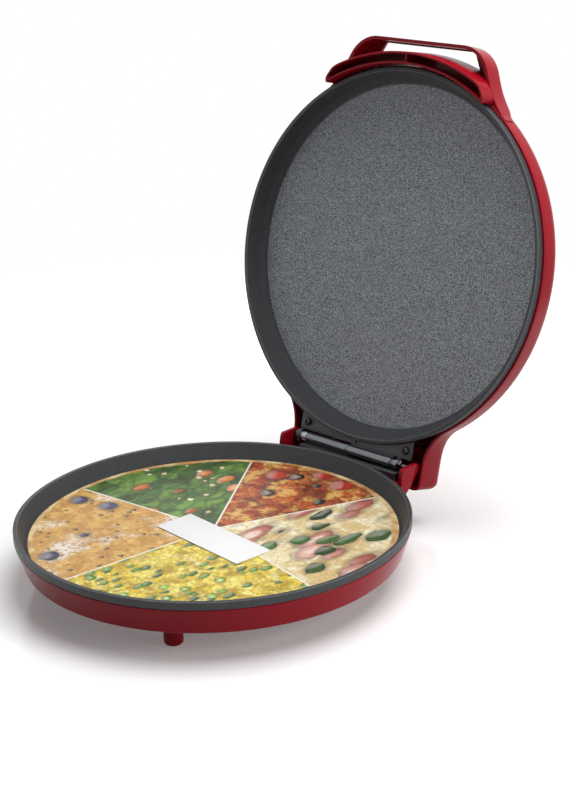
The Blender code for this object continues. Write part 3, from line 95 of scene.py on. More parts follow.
class PizzaPanSizes(PropertyGroup):
    rim_radius: length("Rim radius", (PAN_HIGH.x - PAN_LOW.x) / 2, "Outer radius of both pan rims")
    rim_inner: length("Inner rim radius", 0.1572, "Radius at the inside of the rim")
    rim_depth: length("Rim depth", 0.0066, "Height of the thick rim")
    floor_radius: length("Floor radius", 0.1512, "Where the wall meets the pan floor")
    wall: length("Wall", 0.0022, "Thickness of the pan wall")
    lower_depth: length("Lower pan depth", 0.0146, "Depth of the lower pan")
    lower_floor: length("Lower pan floor", 0.0030, "Thickness of the lower pan's floor")
    lower_fillet: length("Lower pan corner", 0.0026, "Rounding between floor and wall")
    upper_depth: length("Upper pan depth", 0.0180, "Depth of the upper pan")
    upper_floor: length("Upper pan floor", 0.0022, "Thickness of the upper pan's floor")
    upper_fillet: length("Upper pan corner", 0.0060, "Rounding between floor and wall")
    upper_gap: length("Gap when shut", 0.0004, "Space between the rims of the shut machine")


class PizzaHousingSizes(PropertyGroup):
    wall: length("Wall", 0.0025, "Thickness of the plastic")
    top_radius: length("Base top radius", 0.1604, "Lower housing just under the pan rim")
    foot_radius: length("Base foot radius", 0.1540, "Where the side of the base turns under")
    flat_radius: length("Base flat radius", 0.1420, "Radius of the flat underside")
    side_depth: length("Base side depth", 0.0268, "Rim to where the side turns under")
    depth: length("Base depth", 0.0310, "Rim to the underside of the base")
    ear_outer: length("Ear outside", 0.0705, "Outside of the hinge ears from the middle")
    ear_right: length("Right ear inside", 0.0664, "Inside of the right ear")
    ear_left: length("Left ear inside", 0.0665, "Inside of the left ear")
    lid_radius: length("Lid radius", 0.1620, "Radius of the lid's side")
    lid_edge: length("Lid edge height", 0.0073, "Lower edge of the lid, shut")
    lid_side: length("Lid side height", 0.0200, "Where the side turns over")
    lid_shoulder: length("Lid shoulder", 0.0100, "Rounding between side and crown")
    lid_crown: length("Lid crown height", 0.0410, "Highest point of the lid, shut")
    tail_half: length("Tail half width", 0.0745, "Half the width of the square tail")
    tail_back: length("Tail back", 0.1895, "Back of the tail behind the middle")
    tail_side: length("Tail side height", 0.0275, "Where the tail's side turns over")
    tail_blend: length("Tail blend", 0.0450, "Hollow curve between the side and the tail")
    tail_corner: length("Tail corner", 0.0070, "Rounding of the tail's back corners")
    tail_lean: length("Tail shoulder lean", 0.0055, "How far the tail's shoulder leans in")
    tail_rise: length("Tail shoulder rise", 0.0085, "Height of the tail's shoulder")


class PizzaHandleSizes(PropertyGroup):
    front: length("Front", 0.1840, "Front of the bar before the middle")
    corner_at: length("Corner place", 0.0659, "Where the arm's line meets the front line")
    arm_slope: turn("Arm slope", 24.0, "Slope of the arms")
    corner: length("Corner", 0.0300, "Rounding of the bar's corners")
    blend: length("Blend", 0.0850, "Hollow curve where the arms meet the lid")
    end_drop: length("End drop", 0.0055, "How far the arms' top runs down at their ends")
    tail: turn("Tail angle", 38.0, "Where the arms' thin tails end, from the middle of the front")
    tail_run: turn("Tail run", 5.0, "Over how much of it the top runs down")
    tail_thick: length("Tail", 0.0006, "Thickness of the tails at their start")
    tail_thin: length("Tail end", 0.0003, "Thickness of the tails at their end")
    low: length("Lower edge", 0.0080, "Height of the bar's lower edge, shut")
    top: length("Top", 0.0254, "Height of the bar's top, shut")
    edge: length("Edge", 0.0012, "Rounding of the top edge")
    wall: length("Wall", 0.0028, "Thickness of the bar's wall")
    lip: length("Lip", 0.0040, "Width of the bar beside the finger opening")
    web: length("Web", 0.0024, "Thickness of the top round the opening")
    opening_half: length("Opening half width", 0.0482, "Half the finger opening at its front")
    opening_spread: length("Opening spread", 0.0073, "How much wider the opening is at its back")
    trough_back: length("Trough set-off", 0.0003, "How far the trough's back stands off the grip's")
    trough_radius: length("Trough radius", 0.1728, "Outside of the trough at its lower edge")
    trough_top: length("Trough top radius", 0.1753, "Outside of the trough at the top")
    trough_low: length("Trough lower edge", -0.0075, "Height of the trough's lower edge")
    trough_roof: length("Trough roof", 0.0135, "Height of the roof of its pockets")
    trough_wall: length("Trough wall", 0.0018, "Thickness of the trough's walls")
    trough_rib: length("Trough rib", 0.0014, "Thickness of the rib in its middle")


class PizzaHingeSizes(PropertyGroup):
    barrel: length("Barrel radius", 0.0045, "Radius of the rolled barrels")
    lug: length("Left lug radius", 0.0056, "Radius of the left lug")
    pin: length("Pin radius", 0.0020, "Radius of the hinge pin")
    pin_room: length("Pin room", 0.00035, "Space round the pin")
    sheet: length("Sheet", 0.0015, "Thickness of the hinge leaves")
    screw_head: length("Screw head radius", 0.0034, "Radius of the screw heads")
    screw_rise: length("Screw head height", 0.0022, "Height of the screw heads")
    screw_shank: length("Screw shank radius", 0.0017, "Radius of the screw shanks")


class PizzaFittingSizes(PropertyGroup):
    boss: length("Base boss radius", 0.0055, "Radius of the screw bosses in the base")
    lid_boss: length("Lid boss radius", 0.0042, "Radius of the screw bosses in the lid")
    screw_room: length("Screw recess radius", 0.0037, "Recess under the base for a screw head")
    foot_radius: length("Foot radius", 0.00765, "Radius of the feet")
    foot_end: length("Foot end", 0.0510, "Rim to the end of the feet")
    foot_stem: length("Foot stem radius", 0.0030, "Part of a foot inside the housing's floor")
    foot_barb: length("Foot barb radius", 0.0045, "Part of a foot above the housing's floor")
    foot_barb_high: length("Foot barb", 0.0012, "Thickness of that part")
    feet_front: length("Front feet", 0.1270, "Front feet from the middle")
    feet_back: length("Back feet", 0.1310, "Back feet from the middle")
    gland_bore: length("Gland bore", 0.0037, "Radius of the hole through the gland")
    gland_neck: length("Gland neck", 0.0060, "Radius of the gland inside the wall")
    gland_flange: length("Gland flange", 0.0082, "Radius of the gland outside the wall")
    gland_out: length("Gland outside", 0.0023, "How far the gland stands out")
    gland_in: length("Gland inside", 0.0034, "How far the gland reaches in")
    card_radius: length("Card radius", 0.1496, "Radius of the printed card")
    card_thick: length("Card thickness", 0.0010, "Thickness of the printed card")
    label_long: length("Label length", 0.1010, "Length of the blank label")
    label_wide: length("Label width", 0.0350, "Width of the blank label")
    label_thick: length("Label thickness", 0.0006, "Thickness of the blank label")
    label_across: length("Label across", 0.0135, "Middle of the label right of the card's")
    label_along: length("Label along", -0.0145, "Middle of the label behind the card's")
    label_turn: turn("Label turn", -5.5, "Direction of the label's long edges")


class PizzaFinishes(PropertyGroup):
    lacquer: colour("Lacquer", (0.330, 0.004, 0.014), "Red of the housings")
    coating: colour("Pan coating", (0.0125, 0.0140, 0.0170), "Non-stick coating of the pans")
    black_steel: colour("Hinge steel", (0.030, 0.031, 0.034), "Dark paint of the hinge")
    floor: colour("Floor", (0.94, 0.94, 0.94), "Studio floor")


class PizzaStage(PropertyGroup):
    turn: turn("Camera turn", 43.708, "Camera direction round the object")
    rise: turn("Camera rise", 19.972, "Camera direction above the table")
    roll: turn("Camera roll", -1.64, "Camera roll")
    distance: length("Camera distance", 1.44679, "From the camera to the middle of the lower rim")
    across: length("Camera across", -0.0588, "Sideways place of the rim's middle in the view")
    up: length("Camera up", -0.09152, "Upward place of the rim's middle in the view")
    lens: FloatProperty(name="Lens", default=80.754, unit="CAMERA", description="Focal length")


class PizzaSettings(PropertyGroup):
    pan: PointerProperty(type=PizzaPanSizes)
    housing: PointerProperty(type=PizzaHousingSizes)
    handle: PointerProperty(type=PizzaHandleSizes)
    hinge: PointerProperty(type=PizzaHingeSizes)
    fitting: PointerProperty(type=PizzaFittingSizes)
    finish: PointerProperty(type=PizzaFinishes)
    stage: PointerProperty(type=PizzaStage)
    steps: IntProperty(name="Steps", default=192, min=24, description="Facets round the large pieces")


def settings():
    return bpy.context.scene.pizza_maker


def both_ways(operation):
    """An operator on links and its reflected form; each adds one Math node."""
    def forward(link, other):
        return link.tree.math(operation, link, other)

    def reflected(link, other):
        return link.tree.math(operation, other, link)

    return forward, reflected


class Link:
    """A value in a node tree; Python arithmetic on it adds Math nodes."""

    def __init__(self, tree, socket):
        self.tree = tree
        self.socket = socket

    __add__, __radd__ = both_ways("ADD")
    __sub__, __rsub__ = both_ways("SUBTRACT")
    __mul__, __rmul__ = both_ways("MULTIPLY")
    __truediv__, __rtruediv__ = both_ways("DIVIDE")
    __gt__, __lt__ = both_ways("GREATER_THAN")


class Tree:
    """A node tree being drawn; node() adds any node and links what it is given."""

    def __init__(self, owner):
        self.owner = owner

    def put(self, socket, value):
        if isinstance(value, Link):
            self.owner.links.new(value.socket, socket)
        elif value is not None:
            socket.default_value = value

    def node(self, kind, options=None, *values, out=0, **named):
        made = self.owner.nodes.new(kind)
        for option, value in (options or {}).items():
            setattr(made, option, value)
        for socket, value in zip(made.inputs, values):
            self.put(socket, value)
        for name, value in named.items():
            self.put(made.inputs[name.replace("_", " ")], value)
        return Link(self, made.outputs[out])

    def math(self, operation, *values):
        return self.node("ShaderNodeMath", {"operation": operation}, *values)

    def vector(self, operation, *values, out="Vector"):
        return self.node("ShaderNodeVectorMath", {"operation": operation}, *values, out=out)

    def part(self, vector, axis):
        return self.node("ShaderNodeSeparateXYZ", None, vector, out=axis)


class Paint(Tree):
    """A surface being painted on one Principled shader."""

    def __init__(self, name, **constants):
        self.material = bpy.data.materials.new(name)
        self.material.use_nodes = True
        super().__init__(self.material.node_tree)
        self.shader = self.owner.nodes["Principled BSDF"]
        for label, value in constants.items():
            self.set(label, value)
        self.place = self.node("ShaderNodeTexCoord", out="Object")

    def set(self, label, value):
        if isinstance(value, tuple) and len(value) == 3:
            value = (*value, 1.0)
        self.put(self.shader.inputs[label.replace("_", " ")], value)

    def noise(self, scale, detail=2.0, roughness=0.5, place=None, out="Fac"):
        return self.node("ShaderNodeTexNoise", None, Vector=place or self.place, Scale=scale,
                         Detail=detail, Roughness=roughness, out=out)

    def cells(self, scale, feature="F1", randomness=1.0, place=None, out="Distance"):
        return self.node("ShaderNodeTexVoronoi", {"feature": feature}, Vector=place or self.place,
                         Scale=scale, Randomness=randomness, out=out)

    def span(self, value, low, high, to_low=0.0, to_high=1.0):
        return self.node("ShaderNodeMapRange", {"interpolation_type": "SMOOTHSTEP"}, value, low, high,
                         to_low, to_high)

    def mix(self, factor, first, second):
        made = self.owner.nodes.new("ShaderNodeMix")
        made.data_type = "RGBA"
        ends = [(*value, 1.0) if isinstance(value, tuple) else value for value in (first, second)]
        self.put(made.inputs[0], factor)
        self.put(made.inputs[6], ends[0])
        self.put(made.inputs[7], ends[1])
        return Link(self, made.outputs[2])

    def bump(self, height, strength, distance):
        self.set("Normal", self.node("ShaderNodeBump", None, Strength=strength, Distance=distance,
                                     Height=height))


def shade(base, amount):
    return tuple(min(1.0, value * amount) for value in base)


def red_lacquer():
    red = tuple(settings().finish.lacquer)
    paint = Paint("red_lacquer", Specular_IOR_Level=0.08, Coat_Weight=0.12, Coat_Roughness=0.05)
    cloud = paint.noise(18.0, 3.0)
    paint.set("Base Color", paint.mix(cloud, shade(red, 0.92), shade(red, 1.08)))
    paint.set("Roughness", 0.20 + 0.05 * paint.noise(60.0, 4.0))
    paint.bump(paint.noise(420.0, 1.0), 0.05, 0.0004)
    return paint.material


def pan_coating():
    """Smooth and dark on the walls; grained and paler on the pan's floor, the paler colour in part painted
    sheen; a painted highlight on the rim's edges.
    """
    black = tuple(settings().finish.coating)
    paint = Paint("non_stick_coating", Coat_Roughness=0.35, Coat_IOR=2.0)
    marked, edge = (paint.node("ShaderNodeAttribute", {"attribute_name": label}, out="Fac")
                    for label in ("pan_floor", "pan_edge_highlight"))
    grain = paint.noise(1150.0, 2.0, 0.6)
    speck = paint.span(grain, 0.42, 0.60)
    body = paint.mix(paint.noise(30.0, 3.0), shade(black, 0.8), shade(black, 1.2))
    wall = paint.mix(speck * 0.5, body, shade(black, 3.0))
    # The floor's paler colour is partly the coating's own grain and partly painted sheen
    floor = paint.mix(speck, shade(black, 4.0), shade(black, 28.0))
    # Towards pale grey on the rim's edges: a painted highlight
    paint.set("Base Color", paint.mix(edge * 0.6, paint.mix(marked, wall, floor), (0.22, 0.23, 0.24)))
    paint.set("Coat Weight", marked * (0.15 + 0.70 * speck))
    paint.set("Roughness", 0.32 + 0.18 * grain)
    paint.bump(grain, 1.0, 0.0012)
    return paint.material


def black_steel():
    """Glossy on the barrels, which lie near the hinge axis, and duller on the leaves."""
    base = tuple(settings().finish.black_steel)
    paint = Paint("black_hinge_steel")
    radius = settings().hinge.barrel
    level = paint.vector("MULTIPLY", paint.place, (0.0, 1.0, 1.0))
    off = paint.vector("DISTANCE", level, (0.0, HINGE.y, HINGE.z), out="Value")
    plate = paint.span(off, radius + 0.0002, radius + 0.0007)
    barrel = paint.mix(paint.noise(220.0, 3.0), shade(base, 5.0), shade(base, 7.0))
    paint.set("Base Color", paint.mix(plate, barrel, shade(base, 1.9)))
    paint.set("Metallic", 0.9 - 0.6 * plate)
    paint.set("Roughness", 0.17 + 0.22 * plate + 0.08 * paint.noise(380.0, 3.0))
    paint.bump(paint.noise(900.0, 2.0), 0.12, 0.0003)
    return paint.material


def drawn_steel(name, base, roughness):
    paint = Paint(name, Metallic=1.0)
    streak = paint.noise(40.0, 4.0, place=paint.node("ShaderNodeMapping", None, Vector=paint.place,
                                                     Scale=(1.0, 14.0, 14.0)))
    paint.set("Base Color", paint.mix(streak, shade(base, 0.86), shade(base, 1.08)))
    paint.set("Roughness", roughness + 0.14 * streak)
    paint.bump(paint.noise(700.0, 2.0), 0.06, 0.0002)
    return paint.material


def heater_steel():
    paint = Paint("heater_steel", Metallic=1.0)
    tint = paint.noise(55.0, 4.0, 0.6)
    paint.set("Base Color", paint.mix(tint, (0.16, 0.15, 0.145), (0.34, 0.29, 0.24)))
    paint.set("Roughness", 0.42 + 0.2 * paint.noise(260.0, 3.0))
    return paint.material


def moulded(name, base, roughness):
    paint = Paint(name)
    paint.set("Base Color", paint.mix(paint.noise(90.0, 3.0), shade(base, 0.9), shade(base, 1.08)))
    paint.set("Roughness", roughness + 0.12 * paint.noise(300.0, 2.0))
    paint.bump(paint.noise(650.0, 2.0), 0.15, 0.0003)
    return paint.material


def woven_sleeve():
    paint = Paint("lead_sleeving")
    weave = paint.cells(1500.0, randomness=0.35)
    paint.set("Base Color", paint.mix(weave, (0.76, 0.73, 0.66), (0.50, 0.47, 0.40)))
    paint.set("Roughness", 0.7 + 0.1 * weave)
    paint.bump(weave, 0.4, 0.0003)
    return paint.material


class CardPrint(Paint):
    """Generic food print: wedges of small scattered motifs on a card."""

    def __init__(self, centre):
        super().__init__("printed_card", Specular_IOR_Level=0.45)
        self.flat = self.node("ShaderNodeMapping", None, Vector=self.place, Location=tuple(-centre))
        self.across = self.part(self.flat, "X")
        self.along = self.part(self.flat, "Y")
        self.reach = self.math("SQRT", self.across * self.across + self.along * self.along)
        self.angle = self.math("ARCTAN2", self.along, self.across)

    def shifted(self, x, y, turn=0.0, stretch=1.0):
        return self.node("ShaderNodeMapping", None, Vector=self.flat, Location=(x, y, 0.0),
                         Rotation=(0.0, 0.0, turn), Scale=(1.0, stretch, 1.0))

    def bent(self, place, scale, amount):
        """Coordinates pushed about by noise, so that what is drawn on them is uneven."""
        push = self.vector("SUBTRACT", self.noise(scale, 2.0, place=place, out="Color"), (0.5, 0.5, 0.5))
        return self.vector("MULTIPLY_ADD", push, (amount, amount, 0.0), place)

    def lumps(self, cell, dark, middle, light, place):
        """Ground of small lumps with dark creases between them."""
        place = self.bent(place, 0.7 / cell, cell * 0.8)
        crease = self.cells(1.0 / cell, "DISTANCE_TO_EDGE", place=place)
        tone = self.part(self.cells(1.0 / cell, place=place, out="Color"), "X")
        look = self.mix(tone, middle, light)
        look = self.mix(self.span(self.noise(0.5 / cell, 4.0, 0.65, place), 0.42, 0.62) * 0.8, look, dark)
        return self.mix((1.0 - self.span(crease, 0.0, 0.12)) * 0.5, look, dark)

    def bits(self, under, cell, size, dark, light, place, keep=0.8, bend=0.35, heart=None):
        """Pieces of food on a share of the cells, each with its own tone, a lit side and a shadow."""
        place = self.bent(place, 0.9 / cell, cell * bend)
        far = self.cells(1.0 / cell, place=place)
        beside = self.vector("ADD", place, (-0.13 * cell, -0.09 * cell, 0.0))
        lit = self.span(self.cells(1.0 / cell, place=beside) - far, 0.02, 0.13)
        tone = self.cells(1.0 / cell, place=place, out="Color")
        picked = self.part(tone, "X") < keep
        face = self.mix(self.part(tone, "Y"), dark, light)
        if heart:
            face = self.mix(1.0 - self.span(far, size * 0.35, size * 0.60), face, heart)
        face = self.mix(self.span(far, size * 0.62, size) * 0.75, face, shade(dark, 0.45))
        face = self.mix(lit * 0.22, face, (0.95, 0.90, 0.80))
        shadow = (1.0 - self.span(far, size, size * 1.40)) * picked * 0.4
        ground = self.mix(shadow, under, (0.05, 0.022, 0.008))
        return self.mix((1.0 - self.span(far, size - 0.03, size)) * picked, ground, face)

    def wedge(self, low, high):
        """Mask of one wedge, between two angles in degrees."""
        over = self.angle > math.radians(low)
        under = self.angle < math.radians(high)
        return over * under


def food_print(centre):
    card = CardPrint(centre)
    crumb = card.noise(330.0, 4.0, 0.65)
    blot = card.noise(48.0, 4.0, 0.6)

    # Golden crispbread with dark pits, dusted white, and a few plums
    bread = card.lumps(0.0075, (0.50, 0.24, 0.05), (0.68, 0.38, 0.09), (0.82, 0.52, 0.16),
                       card.shifted(0.004, 0.002))
    bread = card.bits(bread, 0.0095, 0.23, (0.05, 0.018, 0.005), (0.18, 0.07, 0.02),
                      card.shifted(0.003, 0.008), 0.75)
    dust = card.span(card.noise(26.0, 3.0, 0.55, card.shifted(0.020, 0.010)), 0.50, 0.66)
    bread = card.mix(dust * card.span(crumb, 0.36, 0.56) * 0.9, bread, (0.93, 0.90, 0.86))
    bread = card.bits(bread, 0.034, 0.27, (0.020, 0.018, 0.050), (0.060, 0.055, 0.14),
                      card.shifted(0.012, 0.021), 0.55, 0.12, (0.10, 0.10, 0.19))

    # Yellow bake with chopped green stalks
    bake = card.lumps(0.0062, (0.40, 0.24, 0.010), (0.86, 0.62, 0.04), (0.95, 0.86, 0.24),
                      card.shifted(0.001, 0.006))
    bake = card.mix(card.span(blot, 0.56, 0.70) * 0.4, bake, (0.90, 0.82, 0.50))
    bake = card.bits(bake, 0.0090, 0.34, (0.015, 0.07, 0.006), (0.13, 0.34, 0.03),
                     card.shifted(0.003, 0.008, 0.5, 0.62), 0.50, 0.5)
    bake = card.bits(bake, 0.0140, 0.33, (0.05, 0.20, 0.012), (0.36, 0.60, 0.08),
                     card.shifted(0.013, 0.001), 0.45, 0.3, (0.66, 0.78, 0.30))

    # Cream sauce with pink curls and dark leaves
    cream = card.lumps(0.0110, (0.66, 0.46, 0.18), (0.92, 0.80, 0.48), (0.97, 0.92, 0.72),
                       card.shifted(0.006, 0.003))
    cream = card.mix(card.span(card.noise(70.0, 4.0, 0.6), 0.56, 0.72) * 0.4, cream, (0.70, 0.38, 0.12))
    cream = card.bits(cream, 0.0230, 0.40, (0.44, 0.12, 0.085), (0.76, 0.40, 0.32),
                      card.shifted(0.002, 0.017, -0.6, 0.45), 0.55, 0.5, (0.86, 0.62, 0.52))
    cream = card.bits(cream, 0.0190, 0.38, (0.012, 0.040, 0.010), (0.055, 0.15, 0.025),
                      card.shifted(0.009, 0.031, 0.9, 0.55), 0.45, 0.7)

    # Red sauce with cheese, red rounds and dark rounds
    sauce = card.lumps(0.0085, (0.09, 0.012, 0.004), (0.40, 0.040, 0.010), (0.70, 0.20, 0.040),
                       card.shifted(0.007, 0.001))
    cheese = card.span(card.noise(62.0, 4.0, 0.6, card.shifted(0.03, 0.01)), 0.50, 0.64)
    sauce = card.mix(cheese, sauce, (0.74, 0.44, 0.12))
    sauce = card.bits(sauce, 0.0330, 0.33, (0.42, 0.020, 0.010), (0.66, 0.055, 0.018),
                      card.shifted(0.021, 0.002), 0.55, 0.35)
    sauce = card.bits(sauce, 0.0260, 0.27, (0.008, 0.008, 0.010), (0.024, 0.018, 0.024),
                      card.shifted(0.003, 0.011), 0.50, 0.15, (0.30, 0.16, 0.07))

    # Green leaves with carrot and pale seeds
    leaves = card.lumps(0.0130, (0.010, 0.028, 0.006), (0.045, 0.12, 0.018), (0.17, 0.33, 0.05),
                        card.shifted(0.002, 0.009, 0.4, 0.6))
    leaves = card.bits(leaves, 0.0210, 0.34, (0.50, 0.10, 0.012), (0.80, 0.27, 0.04),
                       card.shifted(0.006, 0.025, 0.3, 0.7), 0.50, 0.35, (0.86, 0.42, 0.09))
    leaves = card.bits(leaves, 0.0100, 0.30, (0.60, 0.46, 0.20), (0.92, 0.84, 0.58),
                       card.shifted(0.018, 0.009), 0.30, 0.4)

    wedges = ((-175.0, -98.0, bread), (-98.0, -12.0, bake), (-12.0, 66.0, cream), (66.0, 122.0, sauce),
              (122.0, 180.0, leaves))
    look = leaves
    for low, high, motif in wedges:
        look = card.mix(card.wedge(low, high), look, motif)
    look = card.mix(card.span(crumb, 0.56, 0.74) * 0.15, look, (0.95, 0.92, 0.84))
    look = card.mix((1.0 - card.span(crumb, 0.30, 0.48)) * 0.35, look, (0.06, 0.03, 0.012))
    for low, high, motif in wedges:
        edge = math.radians(low)
        off = card.across * -math.sin(edge) + card.along * math.cos(edge)
        ahead = card.across * math.cos(edge) + card.along * math.sin(edge)
        near = 1.0 - card.span(card.math("ABSOLUTE", off), 0.0006, 0.0010)
        look = card.mix(near * (ahead > 0.0), look, (0.90, 0.86, 0.76))
    wavy = card.reach + 0.006 * (card.noise(60.0, 3.0) - 0.5)
    crust = card.mix(card.span(blot, 0.40, 0.60), (0.55, 0.28, 0.085), (0.86, 0.66, 0.34))
    crust = card.mix((1.0 - card.span(crumb, 0.30, 0.50)) * 0.5, crust, (0.24, 0.10, 0.03))
    look = card.mix(card.span(wavy, 0.1435, 0.1465), look, crust)
    card.set("Base Color", look)
    card.set("Roughness", 0.34 + 0.12 * crumb)
    card.bump(crumb, 0.05, 0.0002)
    return card.material


def blank_paper():
    paint = Paint("label_paper", Specular_IOR_Level=0.4)
    paint.set("Base Color", paint.mix(paint.noise(500.0, 3.0), (0.86, 0.86, 0.87), (0.93, 0.93, 0.93)))
    paint.set("Roughness", 0.38 + 0.1 * paint.noise(300.0, 2.0))
    paint.bump(paint.noise(1300.0, 2.0), 0.08, 0.0002)
    return paint.material


MADE = {}


def finish(name):
    """A finish by its name, made once."""
    if name not in MADE:
        MADE[name] = FINISHES[name]()
    return MADE[name]


FINISHES = {
    "red_lacquer": red_lacquer,
    # Pale pink on the grip's rounded edges: a painted highlight of the red lacquer
    "painted_edge_highlight": lambda: moulded("painted_edge_highlight", (0.95, 0.68, 0.72), 0.12),
    "non_stick_coating": pan_coating,
    "black_hinge_steel": black_steel,
    "bright_steel": lambda: drawn_steel("bright_steel", (0.60, 0.60, 0.61), 0.24),
    "dull_steel": lambda: drawn_steel("dull_steel", (0.42, 0.42, 0.43), 0.30),
    "blued_steel": lambda: drawn_steel("blued_steel", (0.11, 0.115, 0.125), 0.14),
    "rolled_aluminium": lambda: drawn_steel("rolled_aluminium", (0.74, 0.75, 0.76), 0.30),
    "dark_screw_steel": lambda: drawn_steel("dark_screw_steel", (0.045, 0.045, 0.048), 0.34),
    "heater_steel": heater_steel,
    "gland_plastic": lambda: moulded("gland_plastic", (0.022, 0.022, 0.023), 0.45),
    "terminal_ceramic": lambda: moulded("terminal_ceramic", (0.80, 0.77, 0.70), 0.42),
    "lead_sleeving": woven_sleeve,
    "label_paper": blank_paper,
    "printed_card": lambda: food_print(RIM_CENTRE),
}


# Meshes

def polar(radius, degrees):
    angle = math.radians(degrees)
    return radius * math.cos(angle), radius * math.sin(angle)


# Places that more than one piece needs, in the frame of the lower rim
PAN_SCREWS = [polar(0.1350, angle) for angle in (-90, 30, 150)]
PAN_STUD = 0.0030
PAN_HUB = 0.0068
SCREW_BORE = 0.0020
LEAF_SCREWS = [(x, 0.1575) for x in (-0.0560, 0.0560)]
LEAF_LEVEL = 0.0040
BLOCK_BACK = 0.1612
GLAND_DEPTH = 0.0180
GLAND_ANGLE = 142.0


def arc(centre, radius, start, end, steps):
    return [(centre[0] + x, centre[1] + y)
            for x, y in (polar(radius, start + (end - start) * i / steps) for i in range(steps + 1))]


def mirrored(points):
    return [(-x, y) for x, y in reversed(points)]


def blend(start, end, share):
    return start + (end - start) * share


def smoothstep(share):
    share = min(1.0, max(0.0, share))
    return share * share * (3 - 2 * share)


def rounded(corners, closed=False, steps=5):
    """Round the corners of a line; each corner is (x, y, radius)."""
    points = []
    count = len(corners)
    for i, (x, y, radius) in enumerate(corners):
        if radius <= 0 or not closed and i in (0, count - 1):
            points.append((x, y))
            continue
        here = Vector((x, y))
        before = Vector(corners[i - 1][:2]) - here
        after = Vector(corners[(i + 1) % count][:2]) - here
        half = before.angle(after) / 2
        reach = min(radius / math.tan(half), before.length / 2.01, after.length / 2.01)
        radius = reach * math.tan(half)
        middle = here + (before.normalized() + after.normalized()).normalized() * radius / math.sin(half)
        start = here + before.normalized() * reach - middle
        sweep = math.pi - 2 * half
        turn = 1 if before.x * after.y - before.y * after.x < 0 else -1
        for k in range(steps + 1):
            angle = turn * sweep * k / steps
            point = middle + Matrix.Rotation(angle, 2) @ start
            points.append((point.x, point.y))
    return points


def baked(source, *helpers):
    """Mesh of an object with its modifiers; the object and its helpers are removed."""
    mesh = bpy.data.meshes.new_from_object(source.evaluated_get(bpy.context.evaluated_depsgraph_get()))
    for obj in (source, *helpers):
        bpy.data.objects.remove(obj, do_unlink=True)
    return mesh


def plain_mesh(name, source):
    """Mesh of an object with its modifiers, closed up and facing outwards."""
    mesh = baked(source)
    mesh.name = name
    return tidy_mesh(mesh)


def tidy_mesh(mesh, sharp=32.0, outwards=True):
    shape = bmesh.new()
    shape.from_mesh(mesh)
    bmesh.ops.remove_doubles(shape, verts=shape.verts, dist=0.000002)
    if outwards:
        bmesh.ops.recalc_face_normals(shape, faces=shape.faces)
    shape.to_mesh(mesh)
    shape.free()
    mesh.shade_smooth()
    mesh.set_sharp_from_angle(angle=math.radians(sharp))
    return mesh


def show(name, mesh):
    obj = bpy.data.objects.new(name, mesh)
    bpy.context.scene.collection.objects.link(obj)
    return obj


class Shaping(Tree):
    """A Geometry Nodes group being drawn, whose last input is the finish of what it makes."""

    def __init__(self, name, **inputs):
        self.group = bpy.data.node_groups.new(name, "GeometryNodeTree")
        super().__init__(self.group)
        for label, kind in inputs.items():
            self.group.interface.new_socket(label, in_out="INPUT", socket_type="NodeSocket" + kind)
        self.group.interface.new_socket("Made", in_out="OUTPUT", socket_type="NodeSocketGeometry")
        start = self.group.nodes.new("NodeGroupInput")
        self.inputs = [Link(self, socket) for socket in list(start.outputs)[:len(inputs)]]

    def close(self, geometry):
        real = self.node("GeometryNodeRealizeInstances", None, geometry)
        done = self.node("GeometryNodeSetMaterial", None, real, Material=self.inputs[-1])
        self.put(self.group.nodes.new("NodeGroupOutput").inputs[0], done)
        return self.group


def lathe_tree():
    """Spins the points of a profile, given as a chain of edges in XZ, round Z."""
    tree = Shaping("lathe", Profile="Geometry", Steps="Int", Finish="Material")
    profile, steps, material = tree.inputs
    count = tree.node("GeometryNodeAttributeDomainSize", None, profile)
    grid = tree.node("GeometryNodeMeshGrid", None, 1.0, 1.0, steps + 1.0, count)
    index = tree.node("GeometryNodeInputIndex")
    column = tree.math("FLOOR", (index + 0.5) / count)
    angle = column * math.tau / steps
    at = tree.node("GeometryNodeSampleIndex", {"data_type": "FLOAT_VECTOR"}, profile,
                   tree.node("GeometryNodeInputPosition"), index - column * count)
    radius = tree.part(at, "X")
    place = tree.node("ShaderNodeCombineXYZ", None, radius * tree.math("COSINE", angle),
                      radius * tree.math("SINE", angle), tree.part(at, "Z"))
    moved = tree.node("GeometryNodeSetPosition", None, grid, Position=place)
    return tree.close(tree.node("GeometryNodeMergeByDistance", None, moved, Distance=0.000002))


def scatter_tree():
    """Sets a part at every point, turned as the point's facing says."""
    tree = Shaping("set_at_points", Points="Geometry", Part="Object", Size="Float", Finish="Material")
    points, part, size, material = tree.inputs
    shape = tree.node("GeometryNodeObjectInfo", None, part, out="Geometry")
    facing = tree.node("GeometryNodeInputNamedAttribute", {"data_type": "FLOAT_VECTOR"}, "facing")
    rotation = tree.node("FunctionNodeEulerToRotation", None, facing)
    return tree.close(tree.node("GeometryNodeInstanceOnPoints", None, points, Instance=shape,
                                Rotation=rotation, Scale=size))


def grown(source, name, build, values):
    """Put a node group on an object, built when first asked for, with its inputs set by name."""
    modifier = source.modifiers.new(name, "NODES")
    modifier.node_group = bpy.data.node_groups.get(name) or build()
    give(modifier, values)


def give(modifier, values):
    """Set a modifier's inputs by the names that the tree gives them."""
    for item in modifier.node_group.interface.items_tree:
        if item.in_out == "INPUT" and item.name in values:
            modifier[item.identifier] = values[item.name]


def turned(name, corners, material, closed=False, steps=None):
    """Mesh of a profile of (radius, height, rounding) spun round Z."""
    line = rounded(corners, closed)
    if closed:
        line.append(line[0])
    mesh = bpy.data.meshes.new(name)
    mesh.from_pydata([(x, 0, z) for x, z in line], [(i, i + 1) for i in range(len(line) - 1)], [])
    source = show(name, mesh)
    grown(source, "lathe", lathe_tree, {"Steps": steps or settings().steps, "Finish": finish(material)})
    return plain_mesh(name, source)


